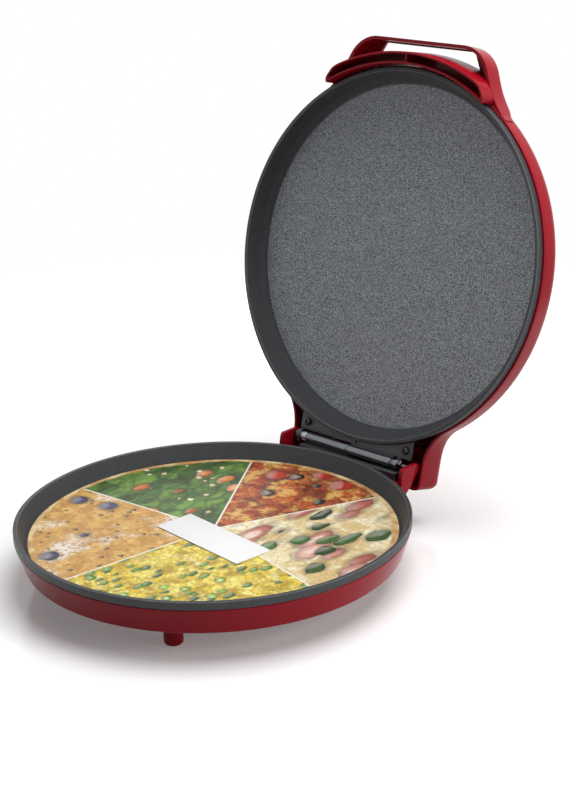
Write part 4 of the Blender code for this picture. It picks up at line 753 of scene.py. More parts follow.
def set_at(name, part, spots, material):
    """One mesh with a copy of the part at every (place, facing)."""
    mesh = bpy.data.meshes.new(name)
    mesh.from_pydata([place for place, facing in spots], [], [])
    facings = mesh.attributes.new("facing", "FLOAT_VECTOR", "POINT")
    facings.data.foreach_set("vector", [value for place, facing in spots for value in facing])
    pattern = show(name + "_pattern", part)
    source = show(name, mesh)
    grown(source, "set_at_points", scatter_tree, {"Part": pattern, "Size": 1.0, "Finish": finish(material)})
    made = plain_mesh(name, source)
    bpy.data.objects.remove(pattern, do_unlink=True)
    return made


def slab(outline, low, high):
    """Mesh of a flat outline between two heights."""
    shape = bmesh.new()
    rows = [[shape.verts.new((x, y, z)) for x, y in outline] for z in (low, high)]
    count = len(outline)
    for i in range(count):
        j = (i + 1) % count
        shape.faces.new((rows[0][i], rows[0][j], rows[1][j], rows[1][i]))
    shape.faces.new(rows[0][::-1])
    shape.faces.new(rows[1])
    bmesh.ops.recalc_face_normals(shape, faces=shape.faces)
    mesh = bpy.data.meshes.new("slab")
    shape.to_mesh(mesh)
    shape.free()
    return mesh


def side_slab(outline, left, right):
    """Mesh of an outline in YZ between two places along X."""
    mesh = slab(outline, left, right)
    mesh.transform(Matrix(((0, 0, 1, 0), (1, 0, 0, 0), (0, 1, 0, 0), (0, 0, 0, 1))))
    return mesh


def block(low, high):
    corners = [(low[0], low[1]), (high[0], low[1]), (high[0], high[1]), (low[0], high[1])]
    return slab(corners, low[2], high[2])


def bar(radius, start, end, steps=64):
    """Round bar between two points."""
    way = Vector(end) - Vector(start)
    mesh = slab([polar(radius, 360 * i / steps) for i in range(steps)], 0, way.length)
    mesh.transform(Matrix.Translation(start) @ way.to_track_quat("Z", "Y").to_matrix().to_4x4())
    return mesh


def loft(rings, close_low=True):
    """Mesh through rings of equally many points."""
    shape = bmesh.new()
    rows = [[shape.verts.new(point) for point in ring] for ring in rings]
    count = len(rings[0])
    for low, high in zip(rows, rows[1:]):
        for i in range(count):
            j = (i + 1) % count
            shape.faces.new((low[i], low[j], high[j], high[i]))
    if close_low:
        shape.faces.new(rows[0][::-1])
    shape.faces.new(rows[-1])
    mesh = bpy.data.meshes.new("loft")
    shape.to_mesh(mesh)
    shape.free()
    return mesh


def carved(mesh, steps, solver="EXACT"):
    """A mesh after a list of (operation, tool mesh) steps."""
    source = show("carved", mesh)
    tools = []
    for operation, tool in steps:
        cutter = show("tool", tool)
        tools.append(cutter)
        step = source.modifiers.new("carve", "BOOLEAN")
        step.operation = operation
        step.solver = solver
        step.object = cutter
    return baked(source, *tools)


def ease(source, width, segments, angle):
    bevel = source.modifiers.new("ease", "BEVEL")
    bevel.width = width
    bevel.segments = segments
    bevel.limit_method = "ANGLE"
    bevel.angle_limit = math.radians(angle)
    return bevel


def eased(mesh, width, segments=2, angle=34.0, edge_finish=-1):
    """A mesh with its sharp edges rounded, the new faces with a finish of their own if one is named."""
    source = show("eased", mesh)
    ease(source, width, segments, angle).material = edge_finish
    return baked(source)


def together(meshes):
    shape = bmesh.new()
    for mesh in meshes:
        shape.from_mesh(mesh)
    made = bpy.data.meshes.new("together")
    shape.to_mesh(made)
    shape.free()
    return made


def piece(name, mesh, material, body, nodes, place, edges=None):
    """Put a finished mesh on a body in place of CAD nodes."""
    mesh.transform(place)
    marks = [face.material_index for face in mesh.polygons]
    mesh.materials.clear()
    mesh.materials.append(finish(material))
    if edges:
        mesh.materials.append(finish(edges))
        mesh.polygons.foreach_set("material_index", marks)
    obj = show(name, mesh)
    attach(obj, body)
    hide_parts(*nodes)


def numbered(name, count):
    return [f"{name}_{i + 1}" for i in range(count)]


def refinish(nodes, material):
    """Give CAD nodes a finish without changing their shape."""
    for name in nodes:
        mesh = frame["nodes"][name].data
        mesh.materials.clear()
        mesh.materials.append(finish(material))


def radial(x, y, z, degrees, tilt=0.0):
    return (
        Matrix.Translation((x, y, z))
        @ Matrix.Rotation(math.radians(degrees), 4, "Z")
        @ Matrix.Rotation(math.pi / 2 + tilt, 4, "Y")
    )


def tube(radius, free_end, root, rounding, spot, material):
    """Upright tube for a screw, from its free end to its root, at a place seen from above."""
    corners = [(SCREW_BORE, free_end, 0), (radius, free_end, rounding),
               (radius, root, 0), (SCREW_BORE, root, 0)]
    mesh = turned("tube", corners, material, True, 40)
    mesh.transform(Matrix.Translation((*spot, 0)))
    return mesh


# Pans

def pan_profile(depth, floor, fillet):
    size = settings().pan
    foot = fillet - depth
    lip = (-size.rim_depth - foot) / -foot
    lip_inner = blend(size.floor_radius, size.rim_inner, lip) + size.wall
    back = -depth - floor
    return [
        (0, -depth, 0),
        (size.floor_radius, -depth, fillet),
        (size.rim_inner, 0, 0.0007),
        (size.rim_radius, 0, 0.0008),
        (size.rim_radius, -size.rim_depth, 0.0004),
        (lip_inner, -size.rim_depth, 0.0004),
        (size.floor_radius + size.wall, foot, 0.002),
        (size.floor_radius + size.wall - fillet, back, 0.002),
        (0, back, 0),
    ]


def pan_mesh(name, depth, floor, fillet):
    body = turned(name, pan_profile(depth, floor, fillet), "non_stick_coating")
    back = -depth - floor
    studs = [(0.0045, PAN_STUD, spot) for spot in PAN_SCREWS] + [(0.0050, PAN_HUB, (0, 0))]
    tubes = [tube(radius, back - reach, back + 0.0003, 0.0004, spot, "non_stick_coating")
             for radius, reach, spot in studs]
    mesh = tidy_mesh(together([body] + tubes))
    # Marks for the floor, which gets partly painted sheen, and for the rim's edges, which get a painted
    # highlight
    for label, low, high in (("pan_floor", -depth - 0.00002, -depth + 0.00002),
                             ("pan_edge_highlight", -0.00040, -0.00005)):
        marks = [float(low < point.co.z < high) for point in mesh.vertices]
        mesh.attributes.new(label, "FLOAT", "POINT").data.foreach_set("value", marks)
    return mesh


class PIZZA_OT_pans(Operator):
    """Make the two coated pans"""
    bl_idname = "pizza.pans"
    bl_label = "Pans"

    def execute(self, context):
        size = settings().pan
        lower = pan_mesh("lower_pan", size.lower_depth, size.lower_floor, size.lower_fillet)
        piece("lower_pan", lower, "non_stick_coating", "base", ["base_pan"], TO_BASE)
        upper = pan_mesh("upper_pan", size.upper_depth, size.upper_floor, size.upper_fillet)
        over = Matrix.Translation((0, 0, size.upper_gap)) @ Matrix.Rotation(math.pi, 4, "Y")
        piece("upper_pan", upper, "non_stick_coating", "lid", ["lid_pan"], TO_LID @ over)
        return {"FINISHED"}


# Base

# Side view of an ear as (back, up, rounding) from the hinge axis
EAR_OUTLINE = (
    (-0.0270, -0.0220, 0), (-0.0270, -0.0105, 0), (-0.0186, -0.0105, 0.001), (-0.0181, -0.0035, 0.004),
    (-0.0166, 0.0030, 0.003), (-0.0146, 0.0048, 0.002), (0.0032, 0.0048, 0.003), (0.0048, 0.0036, 0.002),
    (0.0057, -0.0005, 0.003), (-0.0036, -0.0122, 0.003), (-0.0060, -0.0145, 0.002),
    (-0.0110, -0.0180, 0.002), (-0.0130, -0.0210, 0.001),
)


def base_slope():
    size = settings().housing
    top = settings().pan.rim_depth + GAP
    return math.atan2(size.top_radius - size.foot_radius, size.side_depth - top)


def gland_place():
    size = settings().housing
    top = settings().pan.rim_depth + GAP
    share = (GLAND_DEPTH - top) / (size.side_depth - top)
    x, y = polar(blend(size.top_radius, size.foot_radius, share), GLAND_ANGLE)
    return radial(x, y, -GLAND_DEPTH, GLAND_ANGLE, base_slope())


class PIZZA_OT_base_housing(Operator):
    """Make the red lower housing with its hinge block and ears"""
    bl_idname = "pizza.base_housing"
    bl_label = "Base housing"

    def execute(self, context):
        size = settings().housing
        fitting = settings().fitting
        pan = settings().pan
        wall = size.wall

        def turned_under(inset):
            """The rounding between the side and the flat, moved in by the inset."""
            points = []
            for i in range(11):
                out, down = polar(1, -90 * i / 10)
                points.append((blend(size.flat_radius, size.foot_radius, out) - inset,
                               (size.depth - inset - size.side_depth) * down - size.side_depth, 0))
            return points

        floor = wall - size.depth
        profile = [(0, floor, 0)] + turned_under(wall)[::-1]
        top = -pan.rim_depth - GAP
        profile += [(size.top_radius - wall, top, 0.0003), (size.top_radius, top, 0.0006)]
        profile += turned_under(0) + [(0, -size.depth, 0)]
        shell = turned("base_housing", profile, "red_lacquer")
        recesses = [("DIFFERENCE", bar(fitting.screw_room, (*spot, -0.040), (*spot, floor + GAP), 40))
                    for spot in PAN_SCREWS]
        hole = gland_place()
        ends = [hole @ Vector((0, 0, z)) for z in (-0.008, 0.008)]
        recesses.append(("DIFFERENCE", bar(fitting.gland_neck + 0.0002, *ends, 48)))
        shell = carved(shell, recesses)
        boss_top = -pan.lower_depth - pan.lower_floor - PAN_STUD - GAP
        bosses = [tube(fitting.boss, boss_top, floor, 0.0003, spot, "red_lacquer") for spot in PAN_SCREWS]
        half, front_r = 0.0680, 0.1558
        side = math.degrees(math.acos(half / front_r))
        outline = arc((0, 0), front_r, 180 - side, side, 40)
        outline = [(-half, BLOCK_BACK)] + outline + [(half, BLOCK_BACK)]
        hinge_block = eased(slab(outline, -0.0200, -0.0085), 0.0008)
        ear = [(AXIS.y + y, AXIS.z + z) for y, z in rounded(EAR_OUTLINE, True, 4)]
        ears = [eased(side_slab(ear, left, right), 0.0007, 3)
                for left, right in ((size.ear_right, size.ear_outer), (-size.ear_outer, -size.ear_left))]
        whole = tidy_mesh(together([shell, hinge_block] + ears + bosses), outwards=False)
        piece("base_housing", whole, "red_lacquer", "base", ["base_shell"], TO_BASE)
        return {"FINISHED"}


class PIZZA_OT_feet(Operator):
    """Make the four push-in feet"""
    bl_idname = "pizza.feet"
    bl_label = "Feet"

    def execute(self, context):
        size = settings().fitting
        housing = settings().housing
        over = housing.wall - housing.depth + GAP
        barb = over + size.foot_barb_high
        under = -housing.depth - GAP
        foot = turned("foot", [(0, barb, 0), (size.foot_barb, barb, 0.0003), (size.foot_barb, over, 0.0002),
                               (size.foot_stem, over, 0), (size.foot_stem, under, 0),
                               (size.foot_radius, under, 0.0003), (size.foot_radius, -size.foot_end, 0.0030),
                               (0, -size.foot_end, 0)], "red_lacquer", steps=64)
        spots = [polar(size.feet_front, -90 + side) for side in (31, -31)]
        spots += [polar(size.feet_back, 90 + side) for side in (-24, 24)]
        mesh = set_at("feet", foot, [((x, y, 0), (0, 0, 0)) for x, y in spots], "red_lacquer")
        piece("feet", mesh, "red_lacquer", "base",
              ["foot_front_right", "foot_front_left", "foot_back_right", "foot_back_left"], TO_BASE)
        return {"FINISHED"}


class PIZZA_OT_gland(Operator):
    """Make the cord gland at the back of the base"""
    bl_idname = "pizza.gland"
    bl_label = "Cord gland"

    def execute(self, context):
        size = settings().fitting
        bore, neck, flange = size.gland_bore, size.gland_neck, size.gland_flange
        out, reach = size.gland_out, -size.gland_in
        corners = [(bore, out, 0.0006), (flange, out, 0.0008), (flange, GAP, 0.0003),
                   (neck, GAP, 0), (neck, reach, 0.0004), (bore, reach, 0.0004)]
        mesh = turned("cord_bush", corners, "gland_plastic", True, 72)
        piece("cord_bush", mesh, "gland_plastic", "base", ["cord_gland"], TO_BASE @ gland_place())
        return {"FINISHED"}


# Lid

def lid_outline(steps):
    """The lid's edge, counterclockwise from the front, as (x, y, how much of it is tail)."""
    size = settings().housing
    reach = size.tail_half + size.tail_blend
    hollow_y = math.sqrt((size.lid_radius + size.tail_blend) ** 2 - reach ** 2)
    hollow_angle = math.degrees(math.atan2(hollow_y, reach))
    right = [(x, y, 0) for x, y in arc((0, 0), size.lid_radius, -90, hollow_angle, steps)]
    hollow = arc((reach, hollow_y), size.tail_blend, 180 + hollow_angle, 180, steps // 4)
    for i, (x, y) in enumerate(hollow[1:]):
        share = (i + 1) / (steps // 4)
        right.append((x, y, smoothstep(share)))
    corner_y = size.tail_back - size.tail_corner
    for i in (1, 2, 3):
        right.append((size.tail_half, blend(hollow_y, corner_y, i / 4), 1))
    corner = arc((size.tail_half - size.tail_corner, corner_y), size.tail_corner, 0, 90, 8)
    right += [(x, y, 1) for x, y in corner]
    right += [((size.tail_half - size.tail_corner) * (8 - i) / 8, size.tail_back, 1) for i in range(1, 9)]
    return right[:-1] + [(-x, y, tail) for x, y, tail in reversed(right[1:])]


def moved_in(points, amounts):
    """Each point of a counterclockwise outline moved in by its own amount."""
    moved = []
    count = len(points)
    for i, ((x, y), amount) in enumerate(zip(points, amounts)):
        before, after = points[i - 1], points[(i + 1) % count]
        along = Vector((after[0] - before[0], after[1] - before[1])).normalized()
        moved.append((x - along.y * amount, y + along.x * amount))
    return moved


class PIZZA_OT_lid_housing(Operator):
    """Make the red domed lid with its square tail"""
    bl_idname = "pizza.lid_housing"
    bl_label = "Lid housing"

    def execute(self, context):
        size = settings().housing
        whole = lid_outline(72)
        edge = [(x, y) for x, y, tail in whole]
        side = [blend(size.lid_side, size.tail_side, tail) for x, y, tail in whole]
        lean = [blend(size.lid_shoulder, size.tail_lean, tail) for x, y, tail in whole]
        rise = [blend(size.lid_shoulder, size.tail_rise, tail) for x, y, tail in whole]
        rings = []
        for share in (0.0, 0.4, 0.8):
            rings.append([(x, y, blend(size.lid_edge, z, share)) for (x, y), z in zip(edge, side)])
        for i in range(9):
            out, up = polar(1, 90 * i / 8)
            ring = moved_in(edge, [amount * (1 - out) for amount in lean])
            rings.append([(x, y, z + up * height) for (x, y), z, height in zip(ring, side, rise)])
        shoulder = rings[-1]
        for i in range(1, 15):
            share = 1 - i / 15
            rings.append([(x * share, y * share, size.lid_crown - (size.lid_crown - z) * share * share)
                          for x, y, z in shoulder])
        source = show("lid_housing", loft(rings, close_low=False))
        wall = source.modifiers.new("wall", "SOLIDIFY")
        wall.thickness = size.wall
        wall.offset = -1
        wall.use_even_offset = True
        ease(source, 0.0005, 3, 60.0)
        mesh = plain_mesh("lid_housing", source)
        low = LEAF_LEVEL + settings().hinge.sheet + GAP
        radius = settings().fitting.lid_boss
        bosses = [tube(radius, low, 0.0350, 0.0003, spot, "red_lacquer") for spot in LEAF_SCREWS]
        mesh = tidy_mesh(together([mesh] + bosses), 40.0, outwards=False)
        piece("lid_housing", mesh, "red_lacquer", "lid", ["lid_shell"], TO_LID)
        return {"FINISHED"}


def grip_outline(steps):
    """Right half of the grip's front edge, as (x, distance forward), from the middle."""
    size = settings().handle
    seat = settings().housing.lid_radius + GAP
    slope = size.arm_slope
    degrees = math.degrees(slope)
    setback = size.corner * math.tan((math.pi / 2 - slope) / 2)
    centre = (size.corner_at - setback, size.front - size.corner)
    points = [(centre[0] * i / 6, size.front) for i in range(6)]
    corner = arc(centre, size.corner, 90, degrees, steps)
    points += corner
    outwards = Vector((math.cos(slope), math.sin(slope)))
    down = Vector((math.sin(slope), -math.cos(slope)))
    start = Vector(corner[-1]) + outwards * size.blend
    half_b = start.dot(down)
    root = math.sqrt(half_b ** 2 - start.length_squared + (seat + size.blend) ** 2)
    middle = start + down * (-half_b - root)
    if middle.y > start.y:
        middle = start + down * (-half_b + root)
    angle = math.degrees(math.atan2(middle.y, middle.x))
    points += arc(middle, size.blend, 180 + degrees, 180 + angle, steps)
    points = [(x, y) for x, y in points if math.hypot(x, y) > seat + size.tail_thick]
    end = math.degrees(math.atan2(*points[-1]))
    for i in range(1, 7):
        thick = blend(size.tail_thick, size.tail_thin, i / 6)
        points.append(polar(seat + thick, 90 - blend(end, math.degrees(size.tail), i / 6)))
    return points


def front_plan(half, rear_r, steps=60):
    end = math.degrees(math.atan2(half[-1][1], half[-1][0]))
    rear = arc((0, 0), rear_r, end, 180 - end, steps)[1:-1]
    return [(x, -forward) for x, forward in mirrored(half)[:-1] + half + rear]


def trough_plan(outer_r, inner_r, tip_angle, limits, wall=0.0, steps=24):
    """Half of a crescent whose rounded end stays inside the grip, as (x, distance forward)."""
    round_angle = 25.5
    points = arc((0, 0), outer_r, 90, 90 - round_angle, steps)
    for i in range(1, 9):
        share, rise = polar(1, 90 * i / 8)
        angle = blend(round_angle, tip_angle, rise)
        radius = min(blend(inner_r, outer_r, share), limits(angle) - GAP - wall)
        points.append(polar(max(radius, inner_r), 90 - angle))
    return points


def radius_at(half):
    """The radius of half an outline as a function of the angle from the middle of the front."""
    known = [(math.degrees(math.atan2(x, forward)), math.hypot(x, forward)) for x, forward in half]

    def limits(degrees):
        for (low, low_r), (high, high_r) in zip(known, known[1:]):
            if low <= degrees <= high:
                return blend(low_r, high_r, (degrees - low) / (high - low))
        return known[-1][1]

    return limits


def at_height(plan, z):
    return [(x, y, z) for x, y in plan]


class PIZZA_OT_handle(Operator):
    """Make the looped grip with its hanging trough"""
    bl_idname = "pizza.handle"
    bl_label = "Handle"

    def execute(self, context):
        size = settings().handle
        seat = settings().housing.lid_radius + GAP
        half = grip_outline(16)
        plan = front_plan(half, seat)
        count = 2 * len(half) - 1
        front = plan[:count]
        rings = [at_height(plan, size.low)]
        ways = []
        for i, (x, y) in enumerate(front):
            before, after = front[max(i - 1, 0)], front[min(i + 1, count - 1)]
            along = Vector((after[0] - before[0], after[1] - before[1])).normalized()
            ways.append((-along.y, along.x))
        tops = []
        for x, y in plan:
            share = (math.atan2(abs(x), -y) - size.tail + size.tail_run) / size.tail_run
            tops.append(size.top - size.end_drop * smoothstep(share))
        for step in range(6):
            across, up = polar(size.edge, 90 * step / 5)
            ring = []
            for (x, y), (dx, dy), top in zip(front, ways, tops):
                amount = min(size.edge - across, (math.hypot(x, y) - seat) / 2)
                ring.append((x + dx * amount, y + dy * amount, top - size.edge + up))
            rear = zip(plan[count:], tops[count:])
            rings.append(ring + [(x, y, top - size.edge + up) for (x, y), top in rear])
        grip = loft(rings)

        # Room for the fingers behind the bar
        inner = []
        for (x, y), (dx, dy) in zip(front, ways):
            inner.append((x + dx * size.wall, y + dy * size.wall))
        inner = [(x, y) for x, y in inner if math.hypot(x, y) > seat + 0.0015]
        end = math.degrees(math.atan2(-inner[-1][1], inner[-1][0]))
        rear = [(x, -forward) for x, forward in arc((0, 0), seat - 0.001, end, 180 - end, 60)[1:-1]]
        steps = [("DIFFERENCE", slab(inner + rear, size.low - 0.001, size.top - size.web))]

        def outer_r(z):
            share = (z - size.trough_low) / (size.top - size.trough_low)
            return blend(size.trough_radius, size.trough_top, share)

        limits = radius_at(half)
        back = seat + size.trough_back
        trough = []
        for z, slack in ((size.trough_low, 0.0005), (size.trough_low + 0.00015, 0.00015),
                         (size.trough_low + 0.0005, 0), (size.top - size.web / 2, 0)):
            crescent = trough_plan(outer_r(z) - slack, back, 31.2, limits)
            trough.append(at_height(front_plan(crescent, back), z))
        steps.append(("UNION", loft(trough)))
        hollow_inner = back + size.trough_wall
        hollow = front_plan(trough_plan(size.trough_radius - size.trough_wall, hollow_inner, 29.9, limits,
                                        size.trough_wall), hollow_inner)
        steps.append(("DIFFERENCE", slab(hollow, size.trough_low - 0.001, size.trough_roof)))
        half_rib, half_wall = size.trough_rib / 2, size.trough_wall / 2
        steps.append(("UNION", block((-half_rib, half_wall - size.trough_radius, size.trough_low + 0.0002),
                                     (half_rib, half_wall - hollow_inner, size.trough_roof + half_wall))))
        back_r = outer_r(size.top - size.web)
        back_half = size.opening_half + size.opening_spread
        end = math.degrees(math.acos(back_half / back_r))
        opening = [(-size.opening_half, size.lip - size.front), (size.opening_half, size.lip - size.front)]
        opening += [(x, -forward) for x, forward in arc((0, 0), back_r, end, 180 - end, 60)]
        steps.append(("DIFFERENCE", slab(opening, size.top - size.web - 0.001, size.top + 0.001)))
        # The rounded edges take the second finish, a pale pink painted highlight
        mesh = eased(carved(grip, steps, "MANIFOLD"), 0.0006, 2, 40.0, edge_finish=1)
        mesh = tidy_mesh(mesh, 40.0, outwards=False)
        piece("grip", mesh, "red_lacquer", "lid", ["lid_handle"], TO_LID, "painted_edge_highlight")
        return {"FINISHED"}


# Hinge

def on_axis(radius, left, right, bore=0.0, ease=0.0004, material="black_hinge_steel", steps=64):
    """Turned piece on the hinge axis, with or without a bore."""
    half = (right - left) / 2
    inner = 0.0002 if bore else 0
    corners = [(bore, half, inner), (radius, half, ease), (radius, -half, ease), (bore, -half, inner)]
    mesh = turned("on_axis", corners, material, bool(bore), steps)
    middle = Matrix.Translation(((left + right) / 2, AXIS.y, AXIS.z))
    mesh.transform(middle @ Matrix.Rotation(math.pi / 2, 4, "Y"))
    return mesh


class PIZZA_OT_hinge_leaves(Operator):
    """Make the two dark leaves of the hinge with their barrels"""
    bl_idname = "pizza.hinge_leaves"
    bl_label = "Hinge leaves"

    def execute(self, context):
        size = settings().hinge
        sheet = size.sheet
        bore = size.pin + size.pin_room
        front = BLOCK_BACK + GAP
        outline = [(front, -0.0170), (front + sheet, -0.0170), (front + sheet, -0.0026 - sheet),
                   (0.1712, -0.0026 - sheet), (0.1712, -0.0026), (front, -0.0026)]
        leaf = eased(side_slab(outline, -0.0550, 0.0550), 0.0003)
        web = block((-0.0522, 0.1682, -0.0033), (-0.0046, 0.1708, AXIS.z - size.pin - sheet))
        barrel = on_axis(size.barrel, -0.0522, -0.0046, bore)
        mesh = tidy_mesh(together([leaf, web, barrel]), outwards=False)
        piece("base_leaf", mesh, "black_hinge_steel", "base", ["base_hinge_leaf"], TO_BASE)

        arc_r = settings().pan.rim_radius + 2 * GAP
        side = math.degrees(math.acos(0.0632 / arc_r))
        outline = arc((0, 0), arc_r, side, 180 - side, 60) + [(-0.0632, 0.1648), (0.0632, 0.1648)]
        steps = [("DIFFERENCE", bar(SCREW_BORE, (*spot, 0), (*spot, 0.01), 40)) for spot in LEAF_SCREWS]
        steps.append(("DIFFERENCE", bar(0.0012, (0.0015, 0.1627, 0), (0.0015, 0.1627, 0.01), 32)))
        parts = [eased(carved(slab(outline, LEAF_LEVEL, LEAF_LEVEL + sheet), steps), 0.0002)]
        for left, right, radius in ((-0.0040, 0.0444, size.barrel), (-0.0625, -0.0585, size.lug),
                                    (0.0485, 0.0525, size.barrel)):
            parts.append(block((left, 0.1633, 0.0042), (right, 0.1680, 0.0053)))
            parts.append(on_axis(radius, left, right, bore))
        mesh = tidy_mesh(together(parts), outwards=False)
        piece("lid_leaf", mesh, "black_hinge_steel", "lid", ["lid_hinge_leaf"], TO_LID)
        return {"FINISHED"}


class PIZZA_OT_hinge_rings(Operator):
    """Make the pin, the spacers, the bush and the nut of the hinge"""
    bl_idname = "pizza.hinge_rings"
    bl_label = "Pin and rings"

    def execute(self, context):
        size = settings().hinge
        bore = size.pin + size.pin_room
        rings = (("hinge_bush", "bush", 0.0034, -0.0662, -0.0628, 64, "blued_steel"),
                 ("hinge_spacer_left", "spacer_left", 0.0040, -0.0582, -0.0525, 64, "dull_steel"),
                 ("hinge_spacer_right", "spacer_right", 0.0040, 0.0447, 0.0482, 64, "blued_steel"),
                 ("hinge_nut", "nut", 0.0042, 0.0528, 0.0560, 6, "blued_steel"))
        for node, name, radius, left, right, steps, steel in rings:
            mesh = on_axis(radius, left, right, bore, 0.0003, steel, steps)
            piece(name, mesh, steel, "base", [node], TO_BASE)
        pin = on_axis(size.pin, -0.0697, 0.0670, 0.0, 0.0003, "blued_steel")
        piece("pin", pin, "blued_steel", "base", ["hinge_pin"], TO_BASE)
        return {"FINISHED"}


def screw_mesh(name, reach, material):
    """Pan-head screw with a cross recess, head down, bearing at height zero."""
    size = settings().hinge
    low = -size.screw_rise
    body = turned(name, [(0, reach, 0), (size.screw_shank, reach, 0.0003), (size.screw_shank, 0, 0),
                         (size.screw_head, 0, 0.0001), (size.screw_head, low * 0.55, 0.0006),
                         (size.screw_head * 0.72, low, 0.0006), (0, low, 0)], material, steps=48)
    arms = []
    for turn in (0, 90):
        arm = block((-0.0019, -0.00042, low - 0.001), (0.0019, 0.00042, low + 0.0013))
        arm.transform(Matrix.Rotation(math.radians(turn), 4, "Z"))
        arms.append(("DIFFERENCE", arm))
    return tidy_mesh(carved(body, arms), outwards=False)


class PIZZA_OT_screws(Operator):
    """Make all screws, one group for each body and place"""
    bl_idname = "pizza.screws"
    bl_label = "Screws"

    def execute(self, context):
        up = (0, 0, 0)
        behind = (math.pi / 2, 0, 0)
        over = (0, math.pi, 0)
        back_y = BLOCK_BACK + GAP + settings().hinge.sheet + GAP
        groups = [
            ("base_leaf_screws", "base", "dark_screw_steel", 0.0060, "base_leaf_screws",
             [((x, back_y, -0.0115), behind) for x in (-0.0400, 0.0, 0.0400)]),
            ("pan_screws", "base", "bright_steel", 0.0094, "base_pan_screws",
             [((*spot, -0.0285), up) for spot in PAN_SCREWS]),
            ("base_dish_screw", "base", "bright_steel", 0.0060, "base_reflector_screw",
             [((0, 0, -0.0258), up)]),
            ("lid_leaf_screws", "lid", "dark_screw_steel", 0.0060, "lid_leaf_screws",
             [((*spot, LEAF_LEVEL - GAP), up) for spot in LEAF_SCREWS]),
            ("lid_dish_screw", "lid", "bright_steel", 0.0060, "lid_reflector_screw",
             [((0, 0, 0.0286), over)]),
            ("grip_screws", "lid", "bright_steel", 0.0090, "handle_screws",
             [((*polar(0.1592, angle), 0.0165), (0, math.pi / 2, math.radians(angle)))
              for angle in (-110, -70)]),
        ]
        for name, body, material, reach, node, spots in groups:
            nodes = [node] if len(spots) == 1 else numbered(node, len(spots))
            place = TO_BASE if body == "base" else TO_LID
            mesh = set_at(name, screw_mesh(name, reach, material), spots, material)
            piece(name, mesh, material, body, nodes, place)
        return {"FINISHED"}


# Insert

class PIZZA_OT_insert(Operator):
    """Make the printed card and its blank label"""
    bl_idname = "pizza.insert"
    bl_label = "Card and label"

    def execute(self, context):
        size = settings().fitting
        low = -settings().pan.lower_depth + GAP
        radius, high = size.card_radius, low + size.card_thick
        corners = [(0, high, 0), (radius, high, 0.0002), (radius, low, 0.0002), (0, low, 0)]
        card = turned("printed_card", corners, "printed_card")
        piece("insert_card", card, "printed_card", "base", ["food_card"], TO_BASE)
        corners = [(size.label_long / 2 * x, size.label_wide / 2 * y, 0.0004)
                   for x, y in ((-1, -1), (1, -1), (1, 1), (-1, 1))]
        label = eased(slab(rounded(corners, True, 3), 0, size.label_thick), 0.00012)
        place = TO_BASE @ Matrix.Translation((size.label_across, size.label_along, high + GAP))
        piece("insert_label", tidy_mesh(label), "label_paper", "base", ["card_label"],
              place @ Matrix.Rotation(size.label_turn, 4, "Z"))
        return {"FINISHED"}


class PIZZA_OT_inside(Operator):
    """Give the pieces inside the housings their finishes"""
    bl_idname = "pizza.inside"
    bl_label = "Inside"

    def execute(self, context):
        refinish(["base_heater", "lid_heater"], "heater_steel")
        refinish(["base_reflector"] + numbered("lid_pan_post", 3), "bright_steel")
        refinish(["lid_reflector", "base_thermal_fuse", "lid_thermal_fuse"], "rolled_aluminium")
        refinish(["terminal_block", "thermostat"], "terminal_ceramic")
        refinish(numbered("base_lead", 4) + numbered("lid_lead", 3), "lead_sleeving")
        return {"FINISHED"}


# Stage

def softbox(name, place, aim, width, height, watts):
    data = bpy.data.lights.new(name, "AREA")
    data.shape = "RECTANGLE"
    data.size = width
    data.size_y = height
    data.energy = watts
    lamp = bpy.data.objects.new(name, data)
    bpy.context.scene.collection.objects.link(lamp)
    lamp.location = place
    lamp.rotation_euler = (Vector(aim) - Vector(place)).to_track_quat("-Z", "Y").to_euler()


def seen_directly(tree):
    """One where a ray comes from the camera, or through glass or off metal, else zero."""
    camera, glossy, through = (tree.node("ShaderNodeLightPath", out=f"Is {kind} Ray")
                               for kind in ("Camera", "Glossy", "Transmission"))
    return tree.math("MAXIMUM", camera, tree.math("MAXIMUM", glossy, through))


def floor_material():
    """Pale and faintly glossy near the object, growing white and fading into the backdrop."""
    paint = Paint("studio_floor")
    base = tuple(settings().finish.floor)
    seen = paint.mix(paint.noise(3.0, 2.0), shade(base, 0.995), base)
    paint.set("Base Color", paint.mix(seen_directly(paint), shade(base, 0.45), seen))
    paint.set("Roughness", 0.16 + 0.02 * paint.noise(6.0, 2.0))
    reach = paint.vector("LENGTH", paint.place, out="Value")
    glow = paint.mix(paint.span(reach, 0.20, 0.60), (0.16, 0.16, 0.16), (1.0, 1.0, 1.0))
    paint.set("Emission Color", paint.mix(seen_directly(paint), (0.0, 0.0, 0.0), glow))
    paint.set("Emission Strength", 1.0)
    paint.set("Alpha", paint.span(reach, 0.55, 0.95, 1.0, 0.0))
    return paint.material


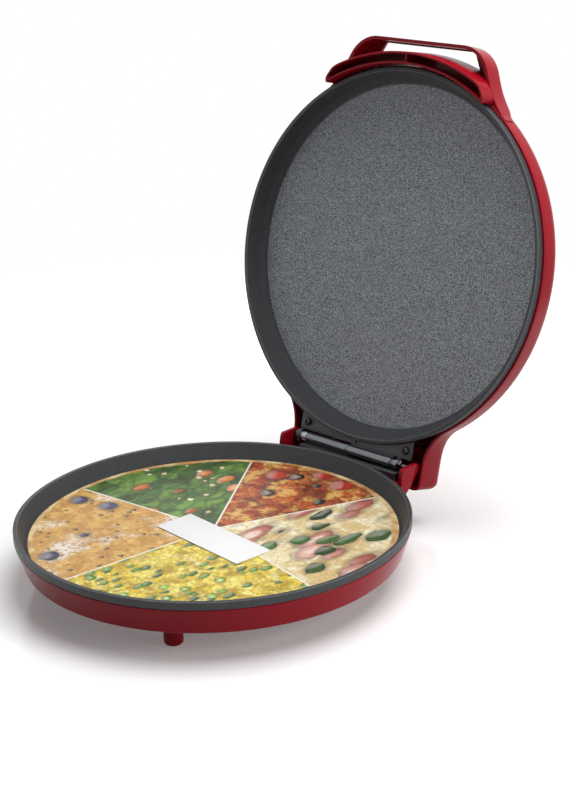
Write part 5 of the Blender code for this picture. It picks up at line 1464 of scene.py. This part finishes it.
class PIZZA_OT_stage(Operator):
    """Set the camera, the lights and the pale floor"""
    bl_idname = "pizza.stage"
    bl_label = "Stage"

    def execute(self, context):
        size = settings().stage
        scene = context.scene
        aim = Vector((math.sin(size.turn) * math.cos(size.rise), -math.cos(size.turn) * math.cos(size.rise),
                      math.sin(size.rise)))
        level = Vector((math.cos(size.turn), math.sin(size.turn), 0))
        above = aim.cross(level)
        right = level * math.cos(size.roll) + above * math.sin(size.roll)
        up = above * math.cos(size.roll) - level * math.sin(size.roll)
        data = bpy.data.cameras.new("camera")
        data.lens = size.lens
        camera = bpy.data.objects.new("camera", data)
        scene.collection.objects.link(camera)
        place = RIM_CENTRE + aim * size.distance - right * size.across - up * size.up
        turn = Matrix((right, up, aim)).transposed().to_4x4()
        camera.matrix_world = Matrix.Translation(place) @ turn
        scene.camera = camera

        shape = bmesh.new()
        bmesh.ops.create_circle(shape, cap_ends=True, segments=96, radius=1.35)
        floor = bpy.data.meshes.new("floor")
        shape.to_mesh(floor)
        shape.free()
        floor.materials.append(floor_material())
        show("floor", floor)

        softbox("softbox_top", (0.25, 0.38, 1.85), (0, 0.0, 0.05), 1.4, 1.4, 36.0)
        softbox("softbox_right", (1.8, 0.5, 0.7), (0, 0.1, 0.2), 0.6, 1.2, 16.0)

        world = bpy.data.worlds.new("studio")
        world.use_nodes = True
        scene.world = world
        tree = Tree(world.node_tree)
        backdrop = world.node_tree.nodes["Background"]
        fill = 0.09
        tree.put(backdrop.inputs["Strength"], fill + (1.0 - fill) * seen_directly(tree))
        backdrop.inputs["Color"].default_value = (1.0, 1.0, 1.0, 1.0)
        scene.view_settings.view_transform = "Standard"
        return {"FINISHED"}


OPERATORS = (PIZZA_OT_base_housing, PIZZA_OT_pans, PIZZA_OT_feet, PIZZA_OT_gland, PIZZA_OT_lid_housing,
             PIZZA_OT_handle, PIZZA_OT_hinge_leaves, PIZZA_OT_hinge_rings, PIZZA_OT_screws, PIZZA_OT_insert,
             PIZZA_OT_inside, PIZZA_OT_stage)


class VIEW3D_PT_pizza_maker(Panel):
    bl_label = "Pizza maker"
    bl_space_type = "VIEW_3D"
    bl_region_type = "UI"
    bl_category = "Pizza maker"

    def draw(self, context):
        for operator in OPERATORS:
            self.layout.operator(operator.bl_idname)


CLASSES = (PizzaPanSizes, PizzaHousingSizes, PizzaHandleSizes, PizzaHingeSizes, PizzaFittingSizes,
           PizzaFinishes, PizzaStage, PizzaSettings) + OPERATORS + (VIEW3D_PT_pizza_maker,)


def register():
    for item in CLASSES:
        bpy.utils.register_class(item)
    bpy.types.Scene.pizza_maker = PointerProperty(type=PizzaSettings)


def unregister():
    del bpy.types.Scene.pizza_maker
    for item in reversed(CLASSES):
        bpy.utils.unregister_class(item)


def main():
    register()
    for operator in OPERATORS:
        group, name = operator.bl_idname.split(".")
        getattr(getattr(bpy.ops, group), name)()


if __name__ == "__main__":
    main()
